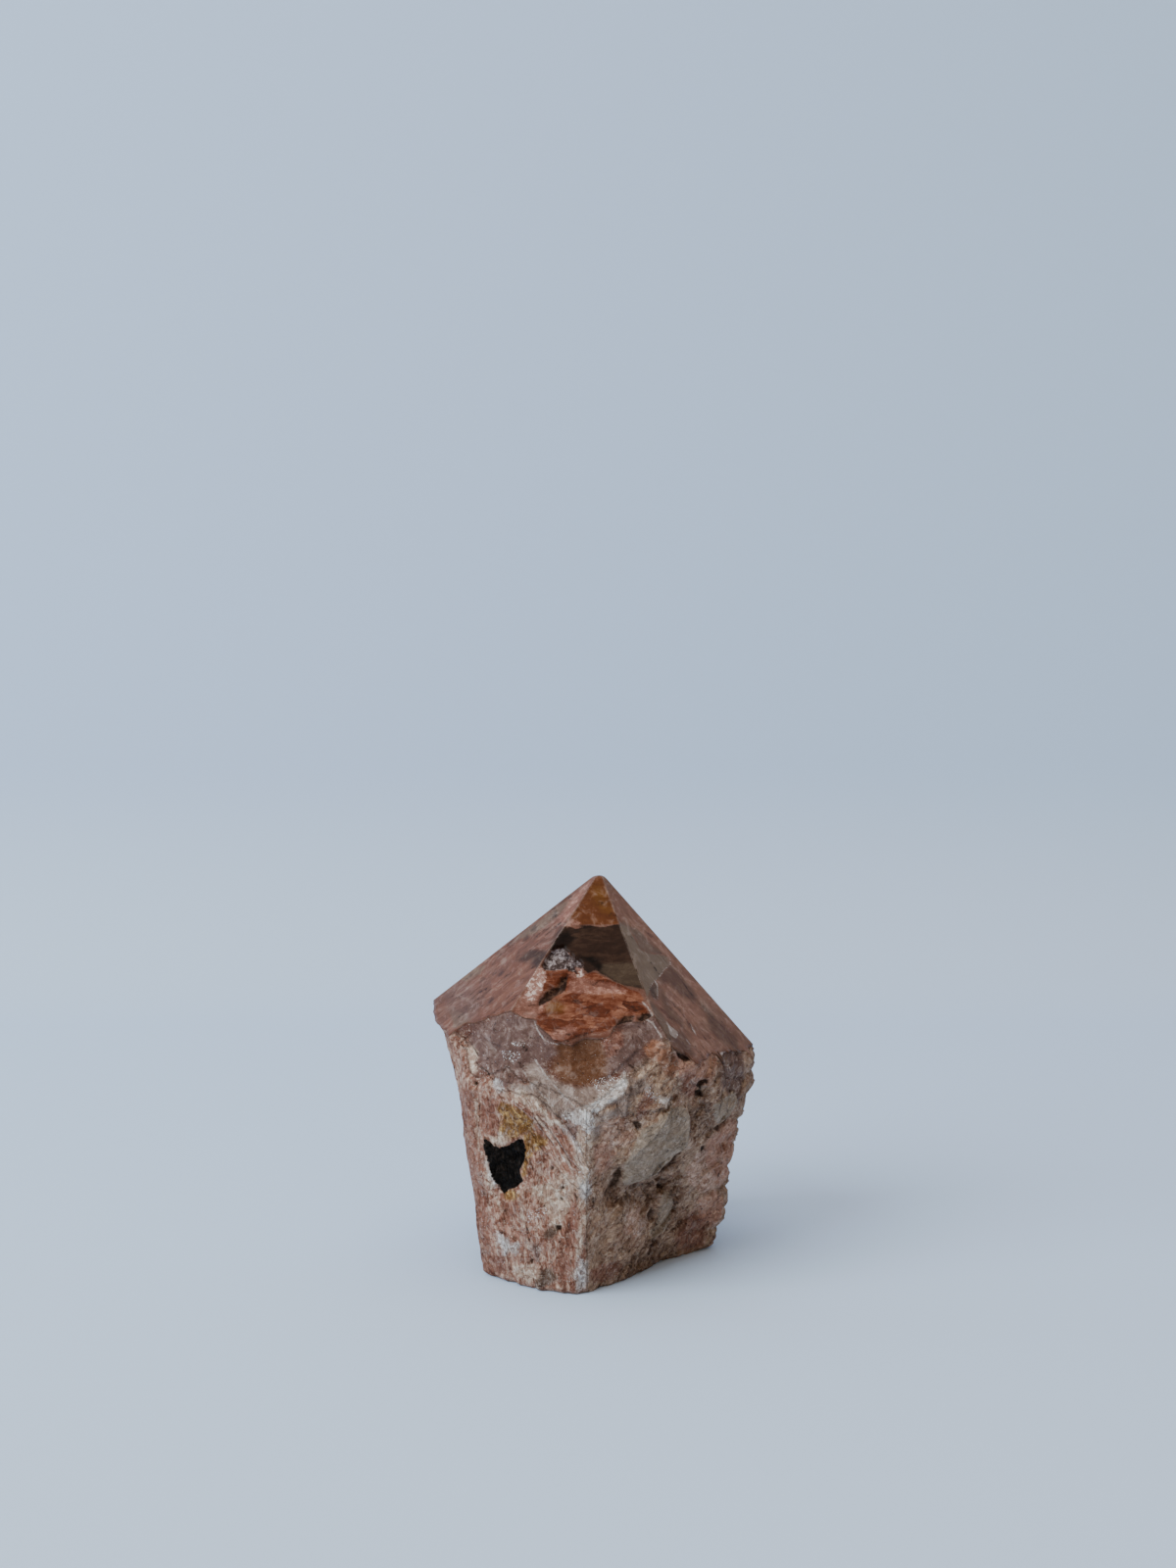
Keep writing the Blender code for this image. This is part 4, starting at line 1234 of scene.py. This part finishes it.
class Nodes:
    """Short calls for the nodes that the stone's finish is made of."""

    def __init__(self, tree):
        self.tree = tree

    def add(self, kind, **settings):
        """A new node, with its settings."""
        node = self.tree.nodes.new("ShaderNode" + kind)
        for name, value in settings.items():
            setattr(node, name, value)
        return node

    def feed(self, socket, value):
        """Feeds an input: from another node's output, or with a number, a vector or a colour."""
        if isinstance(value, bpy.types.NodeSocket):
            self.tree.links.new(value, socket)
        elif socket.type == "RGBA":
            socket.default_value = (*value[:3], 1)
        else:
            socket.default_value = value

    def number(self, name):
        """A number that the mesh holds at each point."""
        return self.add("Attribute", attribute_type="GEOMETRY", attribute_name=name).outputs["Fac"]

    def math(self, operation, first, second=0.0, clamp=False):
        """A sum of two numbers, or another operation on them."""
        node = self.add("Math", operation=operation, use_clamp=clamp)
        self.feed(node.inputs[0], first)
        self.feed(node.inputs[1], second)
        return node.outputs[0]

    def times(self, *values):
        """Numbers multiplied together."""
        total = values[0]
        for value in values[1:]:
            total = self.math("MULTIPLY", total, value)
        return total

    def spread(self, value, low, high, to_low=0.0, to_high=1.0):
        """A smooth step from one value to another between two limits."""
        node = self.add("MapRange", interpolation_type="SMOOTHSTEP")
        for index, number in enumerate((value, low, high, to_low, to_high)):
            self.feed(node.inputs[index], number)
        return node.outputs[0]

    def mix(self, share, first, second):
        """Two colours mixed by a share."""
        node = self.add("Mix", data_type="RGBA")
        self.feed(node.inputs["Factor"], share)
        self.feed(node.inputs[6], first)
        self.feed(node.inputs[7], second)
        return node.outputs[2]

    def mix_numbers(self, share, first, second):
        """Two numbers mixed by a share."""
        node = self.add("Mix", data_type="FLOAT")
        self.feed(node.inputs["Factor"], share)
        self.feed(node.inputs[2], first)
        self.feed(node.inputs[3], second)
        return node.outputs[0]

    def noise(self, place, scale, detail, roughness=0.55, distortion=0.0):
        """Smooth noise, about 0.5, at so many patterns to the mm."""
        node = self.add("TexNoise")
        self.feed(node.inputs["Vector"], place)
        self.feed(node.inputs["Scale"], scale)
        self.feed(node.inputs["Detail"], detail)
        self.feed(node.inputs["Roughness"], roughness)
        self.feed(node.inputs["Distortion"], distortion)
        return node.outputs["Fac"]

    def shaken(self, place, scale, reach):
        """Places moved about by noise, up to a reach in mm, so that cells get uneven rims."""
        noise = self.add("TexNoise")
        self.feed(noise.inputs["Vector"], place)
        self.feed(noise.inputs["Scale"], scale)
        self.feed(noise.inputs["Detail"], 2.0)
        moved = self.add("VectorMath", operation="MULTIPLY_ADD")
        self.feed(moved.inputs[0], noise.outputs["Color"])
        self.feed(moved.inputs[1], (2 * reach, 2 * reach, 2 * reach))
        self.feed(moved.inputs[2], place)
        return moved.outputs[0]

    def cells(self, place, scale):
        """Crystal pieces: a random number for each cell."""
        pieces = self.add("TexVoronoi", feature="F1")
        self.feed(pieces.inputs["Vector"], place)
        self.feed(pieces.inputs["Scale"], scale)
        apart = self.add("SeparateColor")
        self.feed(apart.inputs[0], pieces.outputs["Color"])
        return apart.outputs[0]

    def cell_rims(self, place, scale):
        """Distance to the rim of the nearest crystal piece."""
        pieces = self.add("TexVoronoi", feature="DISTANCE_TO_EDGE")
        self.feed(pieces.inputs["Vector"], place)
        self.feed(pieces.inputs["Scale"], scale)
        return pieces.outputs["Distance"]

    def group(self, tree, **values):
        """A node group placed in this tree, with its inputs fed by name."""
        node = self.add("Group", node_tree=tree)
        for name, value in values.items():
            self.feed(node.inputs[name.replace("_", " ")], value)
        return node


def new_group(name, inputs, outputs):
    """An empty node group with named inputs and outputs."""
    tree = bpy.data.node_groups.new(name, "ShaderNodeTree")
    for label, kind in inputs.items():
        tree.interface.new_socket(label, in_out="INPUT", socket_type="NodeSocket" + kind)
    for label, kind in outputs.items():
        tree.interface.new_socket(label, in_out="OUTPUT", socket_type="NodeSocket" + kind)
    nodes = Nodes(tree)
    return nodes, nodes.tree.nodes.new("NodeGroupInput"), nodes.tree.nodes.new("NodeGroupOutput")


def stone_patterns_group():
    """The noises that every mineral shares: streaks and flakes along the grain, clouds and grains,
    the seams between flakes, ragged rims, pale veils, cracks, and the fine noise of the glints."""
    names = (
        "Streaks", "Fine streaks", "Clouds", "Haze", "Grain", "Fine grain", "Pieces", "Seams", "Ragged",
        "Veil", "Cracks", "Glints",
    )
    nodes, given, made = new_group(
        "stone patterns", {"Place": "Vector", "Drawn": "Vector"}, {name: "Float" for name in names}
    )
    place, drawn = given.outputs["Place"], given.outputs["Drawn"]
    bent = nodes.shaken(drawn, scale=1.2, reach=0.5)
    finely_bent = nodes.shaken(drawn, scale=2.4, reach=0.25)
    uneven = nodes.shaken(place, scale=1.4, reach=0.4)
    wide = nodes.shaken(place, scale=0.35, reach=1.0)
    flowing = nodes.noise(drawn, scale=0.8, detail=5, roughness=0.62, distortion=0.5)
    finely_flowing = nodes.noise(drawn, scale=3.4, detail=3, roughness=0.6, distortion=0.3)
    hazy = nodes.noise(place, scale=0.42, detail=7, roughness=0.72, distortion=1.2)
    fine_grain = nodes.noise(place, scale=4.6, detail=3, roughness=0.7)
    blots = nodes.noise(place, scale=0.6, detail=7, roughness=0.72)
    splinters = nodes.noise(drawn, scale=0.8, detail=5, roughness=0.68)
    flakes = nodes.cells(bent, scale=1.25)
    small_flakes = nodes.cells(finely_bent, scale=2.9)
    wide_rims = nodes.spread(nodes.cell_rims(wide, scale=0.22), low=0.018, high=0.0)
    patterns = {
        "Streaks": nodes.mix_numbers(FLAKE_SHARE, flowing, flakes),
        "Fine streaks": nodes.mix_numbers(FLAKE_SHARE, finely_flowing, small_flakes),
        "Clouds": nodes.noise(place, scale=0.28, detail=4, roughness=0.6, distortion=0.8),
        "Haze": hazy,
        "Grain": nodes.noise(place, scale=1.9, detail=5, roughness=0.7),
        "Fine grain": fine_grain,
        "Pieces": nodes.cells(uneven, scale=1.7),
        "Seams": nodes.spread(nodes.cell_rims(bent, scale=1.25), low=0.09, high=0.0),
        "Ragged": nodes.mix_numbers(FRAY_SHARE, nodes.mix_numbers(0.5, blots, splinters), fine_grain),
        "Veil": nodes.spread(hazy, low=0.50, high=0.70),
        "Cracks": nodes.times(wide_rims, nodes.spread(hazy, low=0.44, high=0.56)),
        "Glints": nodes.noise(place, scale=4.4, detail=2, roughness=0.8),
    }
    for name, pattern in patterns.items():
        nodes.feed(made.inputs[name], pattern)
    return nodes.tree


def mineral_group():
    """A mineral laid over the stone: its patch has a ragged rim, and its colour runs from dark to
    light with a tone that is part streaks and part grain."""
    nodes, given, made = new_group(
        "mineral",
        {
            "Color": "Color", "Roughness": "Float", "Distance": "Float", "Ragged": "Float",
            "Raggedness": "Float", "Softness": "Float", "Strength": "Float", "Streaks": "Float",
            "Grain": "Float", "Streaky": "Float", "Contrast": "Float", "Dark": "Color",
            "Middle": "Color", "Light": "Color", "Own roughness": "Float",
        },
        {"Color": "Color", "Roughness": "Float", "Patch": "Float"},
    )
    value = given.outputs
    ragged = nodes.times(nodes.math("SUBTRACT", value["Ragged"], 0.5), value["Raggedness"])
    depth = nodes.math("ADD", value["Distance"], ragged)
    half = nodes.times(value["Softness"], 0.5)
    patch = nodes.times(nodes.spread(depth, nodes.times(half, -1.0), half), value["Strength"])
    tone = nodes.mix_numbers(value["Streaky"], value["Grain"], value["Streaks"])
    tone = nodes.times(nodes.math("SUBTRACT", tone, 0.5), value["Contrast"])
    lower = nodes.math("ADD", nodes.math("MULTIPLY", tone, 2.0), 1.0, clamp=True)
    upper = nodes.math("MULTIPLY", tone, 2.0, clamp=True)
    colour = nodes.mix(upper, nodes.mix(lower, value["Dark"], value["Middle"]), value["Light"])
    nodes.feed(made.inputs["Color"], nodes.mix(patch, value["Color"], colour))
    rough = nodes.mix_numbers(patch, value["Roughness"], value["Own roughness"])
    nodes.feed(made.inputs["Roughness"], rough)
    nodes.feed(made.inputs["Patch"], patch)
    return nodes.tree


def place_in_mm(nodes):
    """Object coordinates in mm."""
    coordinates = nodes.add("TexCoord")
    larger = nodes.add("Mapping")
    nodes.feed(larger.inputs["Vector"], coordinates.outputs["Object"])
    larger.inputs["Scale"].default_value = (1 / MM, 1 / MM, 1 / MM)
    return larger.outputs["Vector"]


def lay(nodes, mineral, under, look, distance, grain, shared):
    """A mineral laid over the colour and roughness under it, as deep as the distance into it."""
    dark, middle, light, streaky, contrast, own_roughness, ragged, soft, strength = look
    return nodes.group(
        mineral, Color=under[0], Roughness=under[1], Distance=distance, Raggedness=ragged,
        Softness=soft, Strength=strength, Streaky=streaky, Contrast=contrast, Dark=linear(dark),
        Middle=linear(middle), Light=linear(light), Own_roughness=own_roughness, Grain=grain,
        **shared,
    ).outputs


def stone_material():
    """The moonstone's finish: streaked feldspar with its minerals, polished on the tip's faces, with
    painted glints, painted highlights along the facet edges, painted shade in the crevices and a painted
    reflection on the grey glass.
    """
    material = bpy.data.materials.new("moonstone")
    material.use_nodes = True
    nodes = Nodes(material.node_tree)
    shader = nodes.tree.nodes["Principled BSDF"]
    place = place_in_mm(nodes)
    drawn = nodes.add("Attribute", attribute_type="GEOMETRY", attribute_name="drawn place")
    patterns = nodes.group(stone_patterns_group(), Place=place, Drawn=drawn.outputs["Vector"]).outputs
    polish = nodes.number("polish")
    glassy = nodes.number("glassy")
    mineral = mineral_group()

    fine_share = nodes.spread(polish, 0.0, 1.0, *FINE_SHARES)
    streaks = nodes.mix_numbers(fine_share, patterns["Streaks"], patterns["Fine streaks"])
    grain = nodes.mix_numbers(FINE_GRAIN_SHARE, patterns["Grain"], patterns["Fine grain"])
    grain = nodes.mix_numbers(PIECE_SHARE, grain, patterns["Pieces"])
    smooth = nodes.mix_numbers(GLASS_GRAIN_SHARE, patterns["Haze"], patterns["Fine grain"])
    shared = {"Streaks": streaks, "Ragged": patterns["Ragged"]}

    under = (linear(RUSTY_TINT), POLISHED_ROUGHNESS)
    for name, (*look, where) in GROUND.items():
        distance = nodes.math("SUBTRACT", nodes.number(where), 0.5) if where else INSIDE
        tones = smooth if name in GLASSY else grain
        layer = lay(nodes, mineral, under, (*look, *GROUND_RIM), distance, tones, shared)
        under = (layer["Color"], layer["Roughness"])
    colour, roughness = under

    tint = nodes.spread(patterns["Clouds"], low=0.35, high=0.65)
    colour = nodes.mix(nodes.times(tint, TINT_SHARE), colour, linear(RUSTY_TINT))
    pale = nodes.times(
        nodes.spread(patterns["Fine streaks"], low=0.58, high=0.70),
        nodes.spread(patterns["Clouds"], low=0.42, high=0.60),
        nodes.spread(polish, 0.0, 1.0, *PALE_SHARES),
    )
    under = (nodes.mix(pale, colour, linear(PALE_STREAK)), roughness)

    clean = 0.0
    for name, look in MINERALS.items():
        tones = smooth if name in GLASSY else grain
        layer = lay(nodes, mineral, under, look, nodes.number(name), tones, shared)
        under = (layer["Color"], layer["Roughness"])
        if name in CLEAN:
            clean = nodes.math("MAXIMUM", clean, layer["Patch"])
    colour, roughness = under

    rough_part = nodes.math("SUBTRACT", 1.0, polish)
    open_part = nodes.math("SUBTRACT", 1.0, clean)
    broken_part = nodes.math("SUBTRACT", rough_part, nodes.times(glassy, GLASSY_CRACKS))
    smooth_part = nodes.math("MAXIMUM", polish, nodes.times(glassy, GLASSY_VEIL))
    veil = nodes.times(patterns["Veil"], nodes.spread(smooth_part, 0.0, 1.0, *VEIL_SHARES), open_part)
    colour = nodes.mix(veil, colour, linear(VEIL))
    broken = nodes.spread(patterns["Ragged"], low=0.40, high=0.62)
    seam = nodes.times(patterns["Seams"], broken, broken_part, open_part, SEAM_SHARE)
    light_seams = nodes.spread(patterns["Haze"], low=0.44, high=0.54)
    colour = nodes.mix(seam, colour, nodes.mix(light_seams, linear(DARK_SEAM), linear(PALE_SEAM)))
    crack = nodes.times(patterns["Cracks"], open_part, broken_part, CRACK_SHARE)
    colour = nodes.mix(crack, colour, linear(DARK_SEAM))

    dark_streaks = nodes.spread(patterns["Streaks"], low=0.38, high=0.31)
    dark_grains = nodes.spread(patterns["Grain"], low=0.52, high=0.40)
    fleck = nodes.times(dark_streaks, dark_grains, FLECK_SHARE)
    colour = nodes.mix(fleck, colour, linear(DARK_FLECK))

    # Painted highlights: white glints painted into the colour of the rough stone, thicker in the clusters
    cluster = nodes.times(nodes.spread(nodes.number("sparkle"), low=-1.0, high=1.5), CLUSTER_GLINTS)
    cloudy = nodes.times(nodes.spread(patterns["Clouds"], low=0.44, high=0.58), CLOUDY_GLINTS)
    level = nodes.math("SUBTRACT", GLINT_LEVEL, nodes.math("MAXIMUM", cloudy, cluster))
    over = nodes.math("SUBTRACT", patterns["Glints"], level)
    painted_glint = nodes.math("MULTIPLY", over, GLINT_SHARPNESS, clamp=True)
    painted_glint = nodes.times(painted_glint, rough_part, open_part, PAINTED_GLINT_SHARE)
    colour = nodes.mix(painted_glint, colour, linear(PAINTED_GLINT))

    # Paler line along the facet edges: partly real wear and chips, partly a painted highlight where the
    # rounded edges catch the light
    edge = nodes.spread(nodes.number("facet edge"), low=0.26, high=0.05)
    worn_and_lit = nodes.spread(patterns["Ragged"], low=0.42, high=0.58)
    colour = nodes.mix(nodes.times(edge, worn_and_lit, EDGE_WEAR_AND_HIGHLIGHT_SHARE), colour, linear(EDGE_WEAR_AND_HIGHLIGHT))

    nodes.feed(shader.inputs["Base Color"], colour)
    polished = nodes.mix_numbers(polish, roughness, POLISHED_ROUGHNESS)
    nodes.feed(shader.inputs["Roughness"], polished)
    nodes.feed(shader.inputs["Coat Weight"], nodes.times(polish, COAT))
    shader.inputs["Coat Roughness"].default_value = COAT_ROUGHNESS
    shader.inputs["Specular IOR Level"].default_value = SPECULAR

    relief = nodes.mix_numbers(0.5, patterns["Fine streaks"], patterns["Grain"])
    relief = nodes.math("ADD", relief, nodes.times(patterns["Pieces"], BUMP_PIECES))
    relief = nodes.math("ADD", relief, nodes.times(patterns["Fine grain"], BUMP_GRAIN))
    relief = nodes.math("SUBTRACT", relief, nodes.times(patterns["Seams"], BUMP_SEAMS))
    calm = nodes.math("MAXIMUM", polish, nodes.times(glassy, GLASSY_RELIEF))
    bump = nodes.add("Bump")
    bump.inputs["Strength"].default_value = BUMP_STRENGTH
    bump.inputs["Distance"].default_value = BUMP_DEPTH * MM
    height = nodes.times(relief, nodes.math("SUBTRACT", POLISHED_BUMP, calm))
    nodes.feed(bump.inputs["Height"], height)
    nodes.feed(shader.inputs["Normal"], bump.outputs["Normal"])
    return material


def pale_material(name, colour, roughness):
    """A plain matt material for the floor and the wall."""
    material = bpy.data.materials.new(name)
    material.use_nodes = True
    shader = material.node_tree.nodes["Principled BSDF"]
    shader.inputs["Base Color"].default_value = (*colour, 1)
    shader.inputs["Roughness"].default_value = roughness
    shader.inputs["Specular IOR Level"].default_value = FLOOR_SPECULAR
    return material


def add_camera():
    """The photograph's camera: the eye's place, tilt and focal length, with no shift."""
    data = bpy.data.cameras.new("camera")
    data.sensor_fit = "HORIZONTAL"
    data.sensor_width = SENSOR_WIDTH
    data.lens = FOCAL_PIXELS / IMAGE_WIDTH * SENSOR_WIDTH
    data.clip_start = NEAR_CLIP
    camera = bpy.data.objects.new("camera", data)
    camera.location = (Vector(EYE) + Vector(AXIS)) * MM
    camera.rotation_euler = (math.radians(90 - CAMERA_TILT), 0, 0)
    bpy.context.scene.collection.objects.link(camera)
    bpy.context.scene.camera = camera


def add_area_light(name, location, target, size, power, colour):
    """A soft square lamp that looks at a point."""
    data = bpy.data.lights.new(name, "AREA")
    data.shape = "SQUARE"
    data.size = size
    data.energy = power
    data.color = colour
    lamp = bpy.data.objects.new(name, data)
    lamp.location = location
    aim = Vector(target) - Vector(location)
    lamp.rotation_euler = aim.to_track_quat("-Z", "Y").to_euler()
    bpy.context.scene.collection.objects.link(lamp)


def add_stage():
    """The floor with the wall behind it, joined by a cove: one profile drawn out sideways."""
    bend = np.linspace(0, np.pi / 2, COVE_STEPS)
    ys = np.concatenate([[STAGE_FRONT], WALL_PLACE - COVE + COVE * np.sin(bend), [WALL_PLACE]])
    zs = np.concatenate([[0], COVE - COVE * np.cos(bend), [WALL_TOP]])
    left = np.stack([np.full_like(ys, -STAGE_HALF_WIDTH), ys, zs], axis=1)
    right = left * np.array([-1, 1, 1])
    points = np.concatenate([left, right])
    count = len(ys)
    step = np.arange(count - 1)
    faces = np.stack([step, step + count, step + count + 1, step + 1], axis=1)
    mesh = bpy.data.meshes.new("floor")
    mesh.from_pydata(points, [], faces.tolist())
    mesh.shade_smooth()
    floor = bpy.data.objects.new("floor", mesh)
    mesh.materials.append(pale_material("pale floor", PALE_FLOOR, FLOOR_ROUGHNESS))
    bpy.context.scene.collection.objects.link(floor)


def add_light():
    """Soft studio light: a wide lamp from the left and in front, a wider one above, a pale sky."""
    for name, lamp in LAMPS.items():
        add_area_light(name, *lamp)
    world = bpy.data.worlds.new("sky")
    world.use_nodes = True
    backdrop = world.node_tree.nodes["Background"]
    backdrop.inputs["Color"].default_value = (*SKY_COLOUR, 1)
    backdrop.inputs["Strength"].default_value = SKY_STRENGTH
    bpy.context.scene.world = world


stone = build_stone()
stone.data.materials.append(stone_material())
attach(stone, "root")
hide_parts("moonstone")
add_stage()
add_light()
add_camera()
